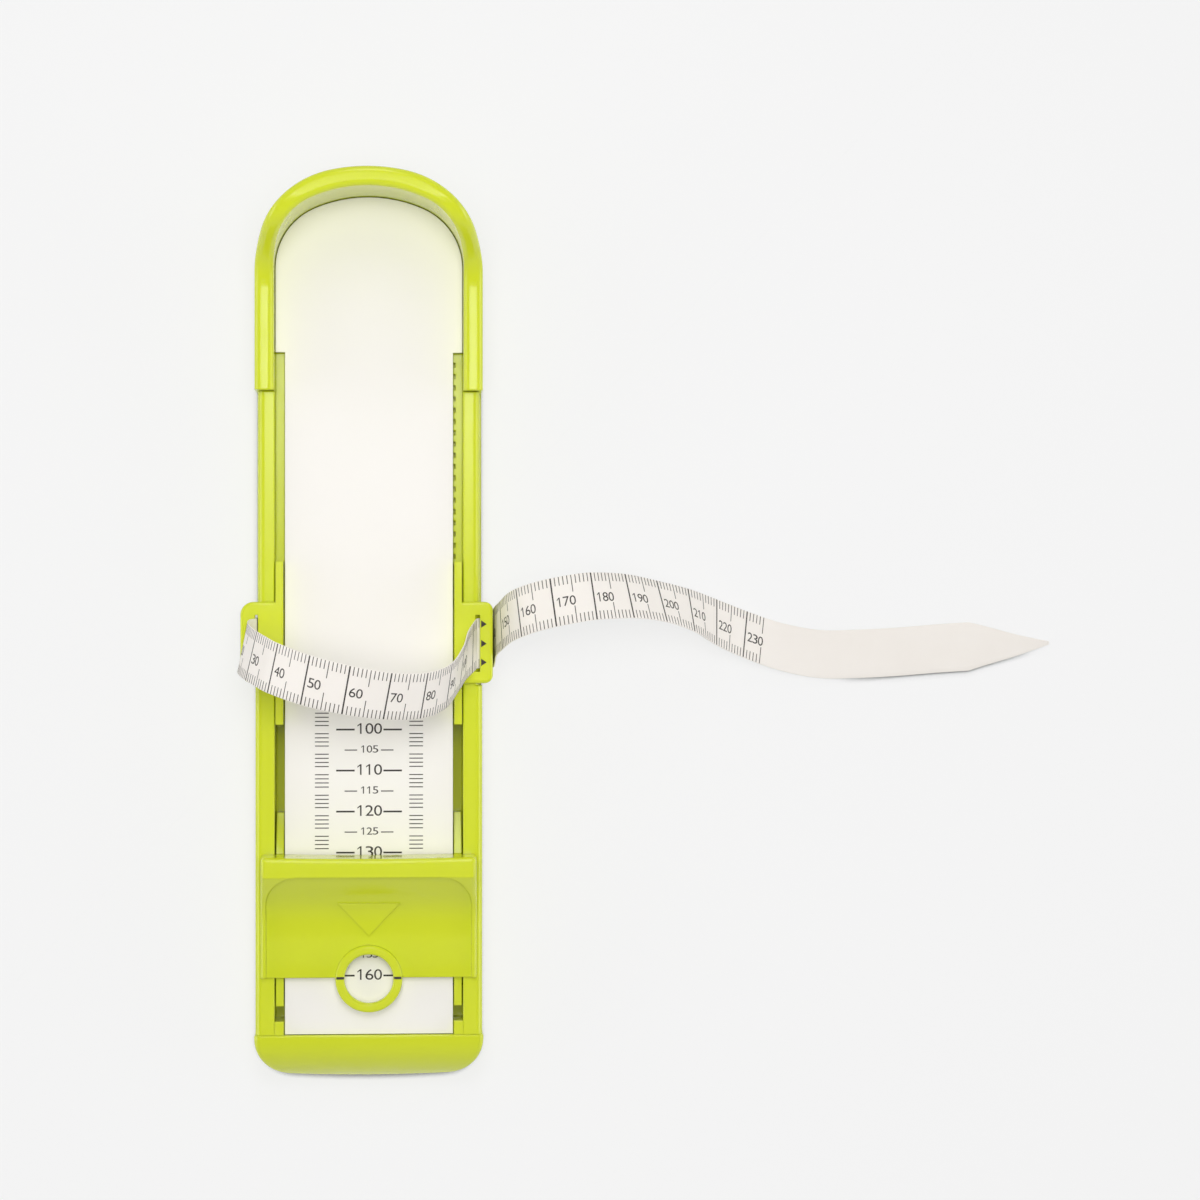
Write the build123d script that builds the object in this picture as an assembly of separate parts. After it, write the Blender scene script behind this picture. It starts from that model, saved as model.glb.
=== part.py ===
from build123d import *
import os
from math import atan2, cos, sin, sqrt

os.makedirs("parts", exist_ok=True)

# Foot measuring device, in millimetres. X is across, +Y points to the heel, +Z is up.
# The origin is the middle of the flat underside. Places along the device are given as
# distances from the heel stop, growing towards the toes, and y_at() turns them into Y.

# Overall sizes
STOP_TO_TOE = 215.3  # heel stop to the toe end
HEEL_WIDTH = 45.8  # clear width between the sides of the heel cup
CUP_WALL = 4.7  # heel cup and side rails
PLATE_TOP = 15.0  # height of the standing surface
PLATE_THICKNESS = 2.0
CHANNEL_WIDTH = 2.45  # gap between the plate and each side rail
FLOOR = 2.0

# Heel cup
HEEL_CROWN_RADIUS = 33.0  # inside, behind the heel
HEEL_CORNER_STEP = 6.9  # centres of the inside corners from the middle
BACK_CROWN_RADIUS = 42.0  # outside
BACK_CORNER_STEP = 4.1  # centres of the outside corners from the middle
CUP_LENGTH = 47.5  # heel stop to the ends of the cup's sides
CUP_RISE = 25.0  # back of the cup above the plate
CUP_SIDE_RISE = 7.5  # its sides above the plate
CUP_SLOPE_START = 2.0
CUP_SLOPE_END = 23.0
CUP_SEAT_DROP = 4.0  # the cup stands on the tray this far below the plate's top
CUP_ROUNDING = 1.5

# Tray
RAIL_RISE = 1.5  # side rails above the plate
CHANNEL_START = 38.0
CHANNEL_END_MARGIN = 3.4  # thickness of the wall across the toe end
RAIL_ROUNDING = 1.6  # outer top edges
RAIL_INNER_ROUNDING = 0.3
PLATE_GAP = 0.15
PLATE_SLOT_GAP = 0.2  # each side of the plate where it passes through the end wall
SEAT_WIDTH = 2.4  # ledge under the rim of the plate
SHELF_GAP = 0.05  # side of the plate to the shelves beside it
RECESS_DEPTH = 0.7  # outer faces of the rails, where the carriage's lips run
RECESS_END = 119.2
SHELF_DROP = 3.7  # shelf under the carriage's rails, below the plate's top
SHELF_END = 112.0
TOE_SHELF_DROP = 9.0  # floor of the channels at the toe end, below the plate's top
CORE_WIDTH = 1.2
CORE_TOP_SKIN = 2.0
CORE_SPANS = [(52.0, 98.0), (104.0, 150.0), (156.0, 198.0)]

# Sloping end cap, held by a tongue of the tray's floor
CAP_LENGTH = 11.0
CAP_CORNER = 9.5
CAP_ROUNDING = 1.4  # its top edge all round
CAP_SEAM_EASE = 0.25  # eased edge where it meets the tray
CAP_BULGE = 0.6  # middle of its end face beyond the corners
CAP_SHOULDER_DROP = 2.7  # where the slope turns down, below the rails
CAP_NOSE_HEIGHT = 6.0
CAP_SIDE_WALL = 3.6
CAP_TOP_WALL = 5.0
CAP_HOLLOW_LENGTH = 7.0
CAP_BOSS_RADIUS = 2.6
CAP_SCREW_SPACING = 26.0
CAP_SCREW_STEP = 4.0  # from the seam
TONGUE_SIDE_STEP = 2.9  # inside the rails
TONGUE_LENGTH = 6.7

# Row of small notches in the right shelf, with the spring that clicks in them
NOTCH_START = 40.8
NOTCH_PITCH = 2.76
NOTCH_COUNT = 26
NOTCH_WIDTH = 1.1
NOTCH_DEPTH = 0.6
NOTCH_HEIGHT = 2.4
CLICK_NOTCH = 24  # the one that holds the carriage where it stands
CLICK_LEAF = 0.25  # thickness of the steel
CLICK_LEAF_WIDTH = 2.0
CLICK_LEAF_HALF = 4.3
CLICK_NOSE_HALF = 1.0
CLICK_NOSE_RISE = 0.6
CLICK_REACH = 0.2  # tip of the nose beyond the plate's side
CLICK_LEAF_INSET = 0.9
CLICK_POCKET_DEPTH = 1.1
CLICK_LEAF_RISE = 0.8  # above the carriage's bridge

# Running clearances
SLIDE_GAP = 0.3
SIDE_GAP = 0.25

# Girth carriage
GUIDE_START = 89.0
GUIDE_END = 128.6
GUIDE_TOP_RISE = 4.5  # guides and tabs above the plate
GUIDE_SLANT_START = 119.8
GUIDE_SLANT_RISE = 1.2  # tip of the slanted underside above the plate
TAB_START = 98.8
TAB_END = 118.6
LIP_GAP = 0.4  # lip to the widest part of the rail
LEFT_LIP = 3.1
RIGHT_LIP = 2.1
LIP_BOTTOM = 4.0
LEFT_CORNER = 3.2
RIGHT_CORNER = 2.0
TAB_ROUNDING = 0.8
SLOT_START = 102.0
SLOT_END = 115.8
SLOT_WIDTH = 0.8
RIGHT_SLOT_INSET = 1.85  # from the inner face of the right lip
RIGHT_SLOT_MOUTH = 1.2
RIGHT_SLOT_FOOT = 1.1
PAD_LENGTH = 13.0
PAD_WIDTH = 8.2
BRIDGE_THICKNESS = 2.8
BRIDGE_DROP = 6.7  # top of the carriage's bridge below the plate's top
BRIDGE_LENGTH = 12.0
BRIDGE_END_GAP = 1.2
BRIDGE_CORNER = 1.5
BRIDGE_RELIEF_HALF = 9.0
BRIDGE_RIM = 3.0  # round the relief in its underside
BRIDGE_SKIN = 1.3
BRIDGE_SCREW_STEP = 3.2

# Tape
TAPE_WIDTH = 12.15
TAPE_THICKNESS = 0.3
TAPE_END_LENGTH = 12.5
TAPE_CLEARS_SLOT = 6.5  # height above its end at which the tape meets the lip
TAPE_BEND = 1.5
CLAMP_THICKNESS = 0.5
CLAMP_LENGTH = 12.4
CLAMP_HEIGHT = 3.6
CLAMP_RISE = 0.4  # above the end of the tape
RIVET_RADIUS = 0.8
RIVET_HEAD_RADIUS = 1.5
RIVET_HEAD_HEIGHT = 0.6
RIVET_HEAD_SINK = 0.8
RIVET_SPACING = 7.2
TURN_RADIUS = 1.6
TAIL_START_RISE = 0.55  # start of the tail above the middle of the turn
TAPER_LENGTH = 20.0
TIP_WIDTH = 0.9

# Toe bar
BAR_FACE = 160.5  # middle of the face that meets the toes
BAR_BACK = 190.2
BAR_SIDE_STEP = 1.8  # its top edge inside the side faces of the tray
BAR_SPREAD = 0.6  # each side is this much wider at the rails
BAR_RISE = 13.2
BAR_BACK_RISE = 3.4
BAR_SHELL = 1.8
BAR_FACE_RADIUS = 900.0  # the face is hollow across
BAR_FACE_LEAN = 0.5  # degrees
BAR_FACE_ROOM = 4.0  # stock in front of the middle of the face, cut away by the hollow
BAR_DIP = 0.42  # share of the length and of the height at which the back is half way down
RIDGE_LENGTH = 4.6
RIM_WIDTH = 0.9
SCOOP_DEPTH = 1.1
SCOOP_CORNER = 7.5
BAR_ROUNDING = 1.1
FACE_ROUNDING = 1.1  # top edge of the face
ARROW_RISE = 0.35  # raised arrow on the back
ARROW_START = 171.9
ARROW_LENGTH = 8.2
ARROW_HALF_WIDTH = 7.65
RING_CENTRE = 190.35
RING_OUTER = 8.15
RING_INNER = 5.9
RING_LOW_RISE = 2.2
RING_TOP_RISE = 4.6
RING_ROUNDING = 0.7
ARM_START = 150.5
ARM_RAMP_END = 163.0
ARM_END = 197.3
ARM_BOTTOM = 3.0
ARM_TAIL_START = 190.0  # from here to its end the arm is shallow
TOE_TRAVEL = 3.0  # towards the toe end
ARM_TOP_RISE = 0.5
ARM_TIP_DROP = 6.0
FOOT_START = 168.0
FOOT_END = 186.0
FOOT_WIDTH = 7.75
FOOT_SCREW_STEP = 4.5  # from each end of the foot
WEB_STEP = 0.5  # ends of the webs inside the bar's
TOE_BRIDGE_DROP = 5.8
TOE_BRIDGE_THICKNESS = 2.9
TOE_BRIDGE_END_GAP = 0.75
BRAKE_THICKNESS = 0.4
BRAKE_WIDTH = 8.0
BRAKE_HALF = 8.5

# Posts under the plate, and the screws
POST_RADIUS = 3.6
POST_HEIGHT = 8.0
PEG_RADIUS = 2.5
PEG_GAP = 0.2
SCREW_RADIUS = 1.15
SCREW_HEAD_RADIUS = 2.4
SCREW_HEAD_HEIGHT = 1.4
SMALL_SCREW_RADIUS = 0.9
SMALL_HEAD_RADIUS = 1.7
SMALL_HEAD_HEIGHT = 1.2
HEAD_SINK = 0.1  # heads below the underside
CROSS_WIDTH = 0.4
CROSS_SHARE = 0.6  # of the head's radius and height
TIP_DEPTH = 1.2  # tips of the screws below the far side of what they hold
PILOT_SPARE = 0.5
PILOT_GAP = 0.05
HOLE_GAP = 0.1
CUP_SCREW_REACH = 6.5
CUP_SCREW_STEP = 8.0  # from the ends of the cup's sides
FIRST_POST = 9.0
SIDE_POSTS = 33.0
POST_SIDE_STEP = 7.9  # inside the rails
RIB_PAD_GAP = 2.4  # ribs to the carriage's pads
RIB_WIDTH = 1.2
RIB_DEPTH = 2.2
RIB_START_STEP = 4.0
RIB_END_STEP = 5.0

# Sizes that follow
HALF_HEEL = HEEL_WIDTH / 2
BODY_HALF = HALF_HEEL + CUP_WALL
BODY_LENGTH = CUP_WALL + STOP_TO_TOE
HEEL_STOP_Y = BODY_LENGTH / 2 - CUP_WALL
SEAM = STOP_TO_TOE - CAP_LENGTH
CHANNEL_END = SEAM - CHANNEL_END_MARGIN
PLATE_BOTTOM = PLATE_TOP - PLATE_THICKNESS
PLATE_HALF = HALF_HEEL - CHANNEL_WIDTH
SHELF_INNER = PLATE_HALF + SHELF_GAP
CUP_SEAT = PLATE_TOP - CUP_SEAT_DROP
RAIL_TOP = PLATE_TOP + RAIL_RISE
SHELF_TOP = PLATE_TOP - SHELF_DROP
TOE_SHELF_TOP = PLATE_TOP - TOE_SHELF_DROP
TOE_SHELF_START = ARM_TAIL_START + TOE_TRAVEL + SLIDE_GAP
RECESS_FACE = BODY_HALF - RECESS_DEPTH
LIP_FACE = BODY_HALF + LIP_GAP
GUIDE_INNER = PLATE_HALF + SIDE_GAP
GUIDE_OUTER = HALF_HEEL - SLIDE_GAP
GUIDE_TOP = PLATE_TOP + GUIDE_TOP_RISE
GUIDE_BOTTOM = SHELF_TOP + SLIDE_GAP
TAB_BOTTOM = RAIL_TOP + SLIDE_GAP
PAD_TOP = PLATE_BOTTOM - SLIDE_GAP
PAD_OUTER = PLATE_HALF - SIDE_GAP
PAD_INNER = PAD_OUTER - PAD_WIDTH
BRIDGE_TOP = PLATE_TOP - BRIDGE_DROP
BRIDGE_BOTTOM = BRIDGE_TOP - BRIDGE_THICKNESS
BRIDGE_HALF = PAD_OUTER - BRIDGE_END_GAP
CLICK_PLACE = NOTCH_START + CLICK_NOTCH * NOTCH_PITCH
SLOT_MIDDLE = (SLOT_START + SLOT_END) / 2
LEFT_SLOT_X = -(LIP_FACE - SLOT_WIDTH)
RIGHT_SLOT_X = LIP_FACE - RIGHT_SLOT_INSET
TURN_X = (RECESS_FACE + LIP_FACE) / 2
TAIL_X = TURN_X + 2 * TURN_RADIUS
TURN_HEIGHT = LIP_BOTTOM + RIGHT_LIP / 2
TAIL_HEIGHT = TURN_HEIGHT + TAIL_START_RISE
CLAMPED_X = -(LIP_FACE - TAPE_THICKNESS / 2)
TAPE_END_Z = GUIDE_TOP - TAPE_END_LENGTH
CLAMP_X = -(LIP_FACE - TAPE_THICKNESS)
CAP_HOLLOW_TOP = RAIL_TOP - CAP_TOP_WALL
TONGUE_HALF = HALF_HEEL - TONGUE_SIDE_STEP
BAR_HALF_WIDTH = BODY_HALF - BAR_SIDE_STEP
TOE_BRIDGE_TOP = PLATE_TOP - TOE_BRIDGE_DROP
TOE_BRIDGE_BOTTOM = TOE_BRIDGE_TOP - TOE_BRIDGE_THICKNESS
ARM_INNER = GUIDE_INNER
ARM_OUTER = GUIDE_OUTER
RIB_OUTER = PAD_INNER - RIB_PAD_GAP
PLATE_SCREW_PLACES = [
    (0.0, FIRST_POST),
    (POST_SIDE_STEP - HALF_HEEL, SIDE_POSTS),
    (HALF_HEEL - POST_SIDE_STEP, SIDE_POSTS),
    (0.0, CHANNEL_END),
]
CUP_SCREW_PLACES = [
    (HALF_HEEL + CUP_WALL / 2, CUP_LENGTH - CUP_SCREW_STEP),
    (-HALF_HEEL - CUP_WALL / 2, CUP_LENGTH - CUP_SCREW_STEP),
    (0.0, -CUP_WALL / 2),
]
CAP_SCREW_PLACES = [
    (side * CAP_SCREW_SPACING / 2, SEAM + CAP_SCREW_STEP)
    for side in (-1, 1)
]


def y_at(distance):
    """Y of a point this far from the heel stop."""
    return HEEL_STOP_Y - distance


def block(x_low, x_high, start, end, z_low, z_high):
    """Box between two X values, two distances from the heel stop and two heights."""
    size = (x_high - x_low, end - start, z_high - z_low)
    middle = ((x_low + x_high) / 2, y_at((start + end) / 2), (z_low + z_high) / 2)
    return Pos(*middle) * Box(*size)


def side_block(side, x_near, x_far, start, end, z_low, z_high):
    """The same box on the left (side -1) or right (side 1) half."""
    low, high = sorted((side * x_near, side * x_far))
    return block(low, high, start, end, z_low, z_high)


def post(x, distance, z_low, z_high, radius):
    """Upright cylinder between two heights."""
    height = z_high - z_low
    return Pos(x, y_at(distance), z_low + height / 2) * Cylinder(radius, height)


def side_prism(points, x_low, x_high):
    """Solid between two X values whose side view has these (distance, height) corners."""
    corners = [(x_low, y_at(distance), height) for distance, height in points]
    face = make_face(Polyline(*corners, close=True))
    return extrude(face, amount=x_high - x_low, dir=(1, 0, 0))


def rounded_end(half, top, crown, centre_x, end):
    """Flat face with a crown and two round corners at the heel, straight-sided as far as end."""
    corner = half - centre_x
    rise = sqrt((crown - corner) ** 2 - centre_x ** 2)
    centre_y = y_at(top + crown) + rise
    turn = atan2(rise, centre_x)
    join = (centre_x + corner * cos(turn), centre_y + corner * sin(turn))
    middle = (centre_x + corner * cos(turn / 2), centre_y + corner * sin(turn / 2))
    side = (half, centre_y)
    toe = (half, y_at(end))

    def left(point):
        return (-point[0], point[1])

    lines = [
        ThreePointArc(left(join), (0, y_at(top)), join),
        ThreePointArc(join, middle, side),
        Line(side, toe),
        Line(toe, left(toe)),
        Line(left(toe), left(side)),
        ThreePointArc(left(side), left(middle), left(join)),
    ]
    return make_face(Curve() + lines)


def heel_outline(offset, end):
    """Flat face inside the inner line of the heel cup moved out by offset."""
    return rounded_end(HALF_HEEL + offset, -offset, HEEL_CROWN_RADIUS + offset,
                       HEEL_CORNER_STEP, end)


def back_outline(end):
    """Flat face inside the outer line of the heel cup."""
    return rounded_end(BODY_HALF, -CUP_WALL, BACK_CROWN_RADIUS, BACK_CORNER_STEP, end)


def raised(face, z_low, z_high):
    """A flat face at z = 0 drawn up between two heights."""
    return Pos(0, 0, z_low) * extrude(face, amount=z_high - z_low)


def ledge(inner, outer, z_low, z_high):
    """Ledge between two offsets of the cup's inner line, as far as the channels."""
    whole = heel_outline(outer, CHANNEL_START)
    return raised(whole - heel_outline(inner, CHANNEL_START + 1), z_low, z_high)


def cup_wall(end, z_low, z_high):
    """Wall between the cup's inner and outer lines, open towards the toes."""
    return raised(back_outline(end) - heel_outline(0, end + 1), z_low, z_high)


def pan_screw(x, distance, z_head, z_tip, radius, head_radius, head_height):
    """Self-tapping screw driven from below, with a cross recess in its head."""
    head = post(x, distance, z_head, z_head + head_height, head_radius)
    shank = post(x, distance, z_head + head_height, z_tip, radius)
    half = CROSS_WIDTH / 2
    z_end = z_head + head_height * CROSS_SHARE
    reach = head_radius * CROSS_SHARE
    slot = block(x - reach, x + reach, distance - half, distance + half, z_head, z_end)
    cross = block(x - half, x + half, distance - reach, distance + reach, z_head, z_end)
    return head + shank - slot - cross


def small_screw(x, distance, z_head, z_tip):
    return pan_screw(x, distance, z_head, z_tip, SMALL_SCREW_RADIUS, SMALL_HEAD_RADIUS,
                     SMALL_HEAD_HEIGHT)


def pilot_hole(x, distance, z_low, z_tip, radius):
    """Blind hole that a screw cuts its thread in."""
    return post(x, distance, z_low, z_tip + PILOT_SPARE, radius + PILOT_GAP)


def screw_hole(x, distance, z_top, radius, head_radius, head_height):
    """Hole from the underside up to z_top, with a counterbore for the head."""
    counterbore = post(x, distance, -1, HEAD_SINK + head_height, head_radius + HOLE_GAP)
    return counterbore + post(x, distance, 0, z_top, radius + HOLE_GAP)


# ---------------------------------------------------------------- base

def base_tray():
    tray = raised(back_outline(SEAM), 0, FLOOR)
    tray += cup_wall(SEAM, 0, CUP_SEAT)
    for side in (-1, 1):
        tray -= side_block(side, RECESS_FACE, BODY_HALF + 1, CUP_LENGTH, RECESS_END,
                           FLOOR, RAIL_TOP + 1)
        tray += side_rail(side, RECESS_FACE, CUP_LENGTH + HOLE_GAP, RECESS_END)
        tray += side_rail(side, BODY_HALF, RECESS_END, SEAM)
        tray += side_block(side, SHELF_INNER, HALF_HEEL, CHANNEL_START, SHELF_END,
                           FLOOR, SHELF_TOP)
        tray += side_block(side, SHELF_INNER, HALF_HEEL, TOE_SHELF_START, CHANNEL_END,
                           FLOOR, TOE_SHELF_TOP)
    tray += ledge(-SEAT_WIDTH, 0, FLOOR, CUP_SEAT)
    tray += ledge(-SEAT_WIDTH, -HOLE_GAP, CUP_SEAT, PLATE_BOTTOM)
    tray += block(-HALF_HEEL, HALF_HEEL, CHANNEL_END, SEAM, FLOOR, RAIL_TOP)
    slot_half = PLATE_HALF + PLATE_SLOT_GAP
    tray -= block(-slot_half, slot_half, CHANNEL_END - 1, SEAM + 1, PLATE_BOTTOM, RAIL_TOP + 1)
    tray += block(-TONGUE_HALF, TONGUE_HALF, SEAM, SEAM + TONGUE_LENGTH, 0, FLOOR)
    for x, distance in PLATE_SCREW_PLACES:
        tray += post(x, distance, FLOOR, POST_HEIGHT, POST_RADIUS)
        tray -= post(x, distance, POST_HEIGHT, PLATE_BOTTOM, PEG_RADIUS + PEG_GAP)
        tray -= screw_hole(x, distance, POST_HEIGHT, SCREW_RADIUS, SCREW_HEAD_RADIUS,
                           SCREW_HEAD_HEIGHT)
    for x, distance in CUP_SCREW_PLACES:
        tray -= screw_hole(x, distance, CUP_SEAT, SMALL_SCREW_RADIUS, SMALL_HEAD_RADIUS,
                           SMALL_HEAD_HEIGHT)
    for x, distance in CAP_SCREW_PLACES:
        tray -= screw_hole(x, distance, FLOOR, SMALL_SCREW_RADIUS, SMALL_HEAD_RADIUS,
                           SMALL_HEAD_HEIGHT)
    core_middle = (HALF_HEEL + RECESS_FACE) / 2
    for start, end in CORE_SPANS:
        for side in (-1, 1):
            tray -= side_block(side, core_middle - CORE_WIDTH / 2, core_middle + CORE_WIDTH / 2,
                               start, end, -1, RAIL_TOP - CORE_TOP_SKIN)
    for index in range(NOTCH_COUNT):
        place = NOTCH_START + index * NOTCH_PITCH
        tray -= block(PLATE_HALF - 1, SHELF_INNER + NOTCH_DEPTH, place - NOTCH_WIDTH / 2,
                      place + NOTCH_WIDTH / 2, SHELF_TOP - NOTCH_HEIGHT, SHELF_TOP + 1)
    return tray


def top_edges(shape):
    """Its highest edges that run along the device."""
    return shape.edges().filter_by(Axis.Y).group_by(Axis.Z)[-1]


def side_rail(side, outer, start, end):
    """Stretch of a side rail, its top rounded outside and a little inside."""
    rail = side_block(side, HALF_HEEL, outer, start, end, 0, RAIL_TOP)
    outer_edge = max(top_edges(rail), key=lambda edge: abs(edge.center().X))
    rail = fillet(outer_edge, RAIL_ROUNDING)
    inner_edge = min(top_edges(rail), key=lambda edge: abs(edge.center().X))
    return fillet(inner_edge, RAIL_INNER_ROUNDING)


def cup_side_view():
    """Solid as wide as the cup that fills the space below its rim line."""
    back = y_at(-CUP_WALL - 1)
    rim = PLATE_TOP + CUP_RISE
    side_rim = PLATE_TOP + CUP_SIDE_RISE
    slope_start = (0, y_at(CUP_SLOPE_START), rim)
    slope_end = (0, y_at(CUP_SLOPE_END), side_rim)
    front = y_at(CUP_LENGTH)
    lines = [
        Line((0, back, CUP_SEAT), (0, back, rim)),
        Line((0, back, rim), slope_start),
        Spline(slope_start, slope_end, tangents=[(0, -1, 0), (0, -1, 0)]),
        Line(slope_end, (0, front, side_rim)),
        Line((0, front, side_rim), (0, front, CUP_SEAT)),
        Line((0, front, CUP_SEAT), (0, back, CUP_SEAT)),
    ]
    return extrude(make_face(Curve() + lines), amount=BODY_HALF + 1, dir=(1, 0, 0), both=True)


def heel_cup():
    cup = cup_wall(CUP_LENGTH, CUP_SEAT, PLATE_TOP + CUP_RISE) & cup_side_view()
    rim_edges = [
        edge
        for edge in cup.edges()
        if edge.center().Z > PLATE_TOP + CUP_SIDE_RISE - 0.1 and edge.length > CUP_WALL + 0.5
    ]
    cup = fillet(rim_edges, CUP_ROUNDING)
    for x, distance in CUP_SCREW_PLACES:
        cup -= pilot_hole(x, distance, CUP_SEAT - 1, CUP_SEAT + CUP_SCREW_REACH,
                          SMALL_SCREW_RADIUS)
    return cup


def cap_outline(half):
    """Plan of the end cap: round corners and a slightly bowed end."""
    corner_y = y_at(STOP_TO_TOE - CAP_BULGE)
    start_y = corner_y + CAP_CORNER
    flat_x = half - CAP_CORNER
    middle = CAP_CORNER * (1 - sqrt(0.5))
    lines = [
        Line((-half, y_at(SEAM)), (-half, start_y)),
        ThreePointArc((-half, start_y), (-half + middle, corner_y + middle), (-flat_x, corner_y)),
        ThreePointArc((-flat_x, corner_y), (0, y_at(STOP_TO_TOE)), (flat_x, corner_y)),
        ThreePointArc((flat_x, corner_y), (half - middle, corner_y + middle), (half, start_y)),
        Line((half, start_y), (half, y_at(SEAM))),
        Line((half, y_at(SEAM)), (-half, y_at(SEAM))),
    ]
    return make_face(Curve() + lines)


def toe_end_cap():
    half = BODY_HALF + SLIDE_GAP
    top = (0, y_at(SEAM), RAIL_TOP)
    nose = (0, y_at(STOP_TO_TOE), CAP_NOSE_HEIGHT)
    shoulder = (0, y_at(SEAM + 0.6 * CAP_LENGTH), RAIL_TOP - CAP_SHOULDER_DROP)
    lines = [
        Line((0, y_at(SEAM), 0), top),
        Spline(top, shoulder, nose, tangents=[(0, -1, 0), (0, -0.3, -1)]),
        Line(nose, (0, y_at(STOP_TO_TOE), 0)),
        Line((0, y_at(STOP_TO_TOE), 0), (0, y_at(SEAM), 0)),
    ]
    profile = extrude(make_face(Curve() + lines), amount=half + 1, dir=(1, 0, 0), both=True)
    cap = raised(cap_outline(half), 0, RAIL_TOP) & profile
    rim = [
        edge
        for edge in cap.edges()
        if edge.center().Z > CAP_NOSE_HEIGHT - 0.1 and edge.center().Y < y_at(SEAM) - 0.1
    ]
    cap = fillet(rim, CAP_ROUNDING)
    seam_edges = [
        edge
        for edge in cap.faces().sort_by(Axis.Y)[-1].edges()
        if edge.center().Z > FLOOR
    ]
    cap = chamfer(seam_edges, CAP_SEAM_EASE)
    hollow_half = BODY_HALF - CAP_SIDE_WALL
    cap -= block(-hollow_half, hollow_half, SEAM - 1, SEAM + CAP_HOLLOW_LENGTH, FLOOR,
                 CAP_HOLLOW_TOP)
    notch_half = TONGUE_HALF + HOLE_GAP
    cap -= block(-notch_half, notch_half, SEAM - 1, SEAM + TONGUE_LENGTH + HOLE_GAP, -1, FLOOR)
    for x, distance in CAP_SCREW_PLACES:
        cap += post(x, distance, FLOOR, CAP_HOLLOW_TOP + 0.5, CAP_BOSS_RADIUS)
        cap -= pilot_hole(x, distance, FLOOR - 1, CAP_HOLLOW_TOP - TIP_DEPTH, SMALL_SCREW_RADIUS)
    return cap


def foot_plate():
    end = SEAM - HOLE_GAP
    plate = raised(heel_outline(-PLATE_GAP, CHANNEL_START), PLATE_BOTTOM, PLATE_TOP)
    plate += block(-PLATE_HALF, PLATE_HALF, CHANNEL_START - 5, end, PLATE_BOTTOM, PLATE_TOP)
    for x, distance in PLATE_SCREW_PLACES:
        plate += post(x, distance, POST_HEIGHT, PLATE_BOTTOM, PEG_RADIUS)
        plate -= pilot_hole(x, distance, POST_HEIGHT - 1, PLATE_BOTTOM - TIP_DEPTH, SCREW_RADIUS)
    for side in (-1, 1):
        plate += side_block(side, RIB_OUTER - RIB_WIDTH, RIB_OUTER,
                            CHANNEL_START + RIB_START_STEP, CHANNEL_END - RIB_END_STEP,
                            PLATE_BOTTOM - RIB_DEPTH, PLATE_BOTTOM)
    return plate


def plate_screws():
    return [pan_screw(x, distance, HEAD_SINK, PLATE_BOTTOM - TIP_DEPTH, SCREW_RADIUS,
                      SCREW_HEAD_RADIUS, SCREW_HEAD_HEIGHT)
            for x, distance in PLATE_SCREW_PLACES]


def heel_cup_screws():
    return [small_screw(x, distance, HEAD_SINK, CUP_SEAT + CUP_SCREW_REACH)
            for x, distance in CUP_SCREW_PLACES]


def end_cap_screws():
    return [small_screw(x, distance, HEAD_SINK, CAP_HOLLOW_TOP - TIP_DEPTH)
            for x, distance in CAP_SCREW_PLACES]


# ---------------------------------------------------------------- girth carriage

PAD_START = CLICK_PLACE - PAD_LENGTH / 2
PAD_END = CLICK_PLACE + PAD_LENGTH / 2
BRIDGE_START = CLICK_PLACE - BRIDGE_LENGTH / 2
BRIDGE_END = CLICK_PLACE + BRIDGE_LENGTH / 2
CARRIAGE_SCREWS = [
    (side * (PAD_INNER + PAD_WIDTH / 2), CLICK_PLACE + step)
    for side in (-1, 1)
    for step in (-BRIDGE_SCREW_STEP, BRIDGE_SCREW_STEP)
]


def carriage_guide(side):
    """Guide in the channel, with the pad that reaches under the plate."""
    guide = side_block(side, GUIDE_INNER, GUIDE_OUTER, GUIDE_START, GUIDE_END,
                       GUIDE_BOTTOM, GUIDE_TOP)
    slant = [
        (GUIDE_SLANT_START, GUIDE_BOTTOM),
        (GUIDE_END + 1, PLATE_TOP + GUIDE_SLANT_RISE + 0.5),
        (GUIDE_END + 1, GUIDE_BOTTOM - 1),
        (GUIDE_SLANT_START, GUIDE_BOTTOM - 1),
    ]
    guide -= side_prism(slant, -BODY_HALF, BODY_HALF)
    guide += side_block(side, PAD_OUTER - 0.5, GUIDE_INNER + 0.5, PAD_START, PAD_END,
                        GUIDE_BOTTOM, PAD_TOP)
    guide += side_block(side, PAD_INNER, PAD_OUTER, PAD_START, PAD_END, BRIDGE_TOP, PAD_TOP)
    return guide


def carriage_tab(side, lip, corner, lip_round):
    """Tab over the side rail, with the lip that hangs outside it."""
    outer = LIP_FACE + lip
    hang = side_block(side, LIP_FACE, outer, TAB_START, TAB_END, LIP_BOTTOM, GUIDE_TOP)
    bottom_edges = [
        edge
        for edge in hang.edges().filter_by(Axis.Y)
        if abs(edge.center().Z - LIP_BOTTOM) < 0.01
    ]
    tab = fillet(bottom_edges, lip_round)
    tab += side_block(side, GUIDE_INNER, outer, TAB_START, TAB_END, TAB_BOTTOM, GUIDE_TOP)
    whole = side_block(side, GUIDE_INNER, outer, TAB_START, TAB_END, 0, GUIDE_TOP)
    upright = [
        edge
        for edge in whole.edges().filter_by(Axis.Z)
        if abs(abs(edge.center().X) - outer) < 0.01
    ]
    tab &= fillet(upright, corner)
    rim = [
        edge
        for edge in tab.edges()
        if abs(edge.center().Z - GUIDE_TOP) < 0.01 and abs(edge.center().X) > GUIDE_OUTER + 0.5
    ]
    return fillet(rim, TAB_ROUNDING)


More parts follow.
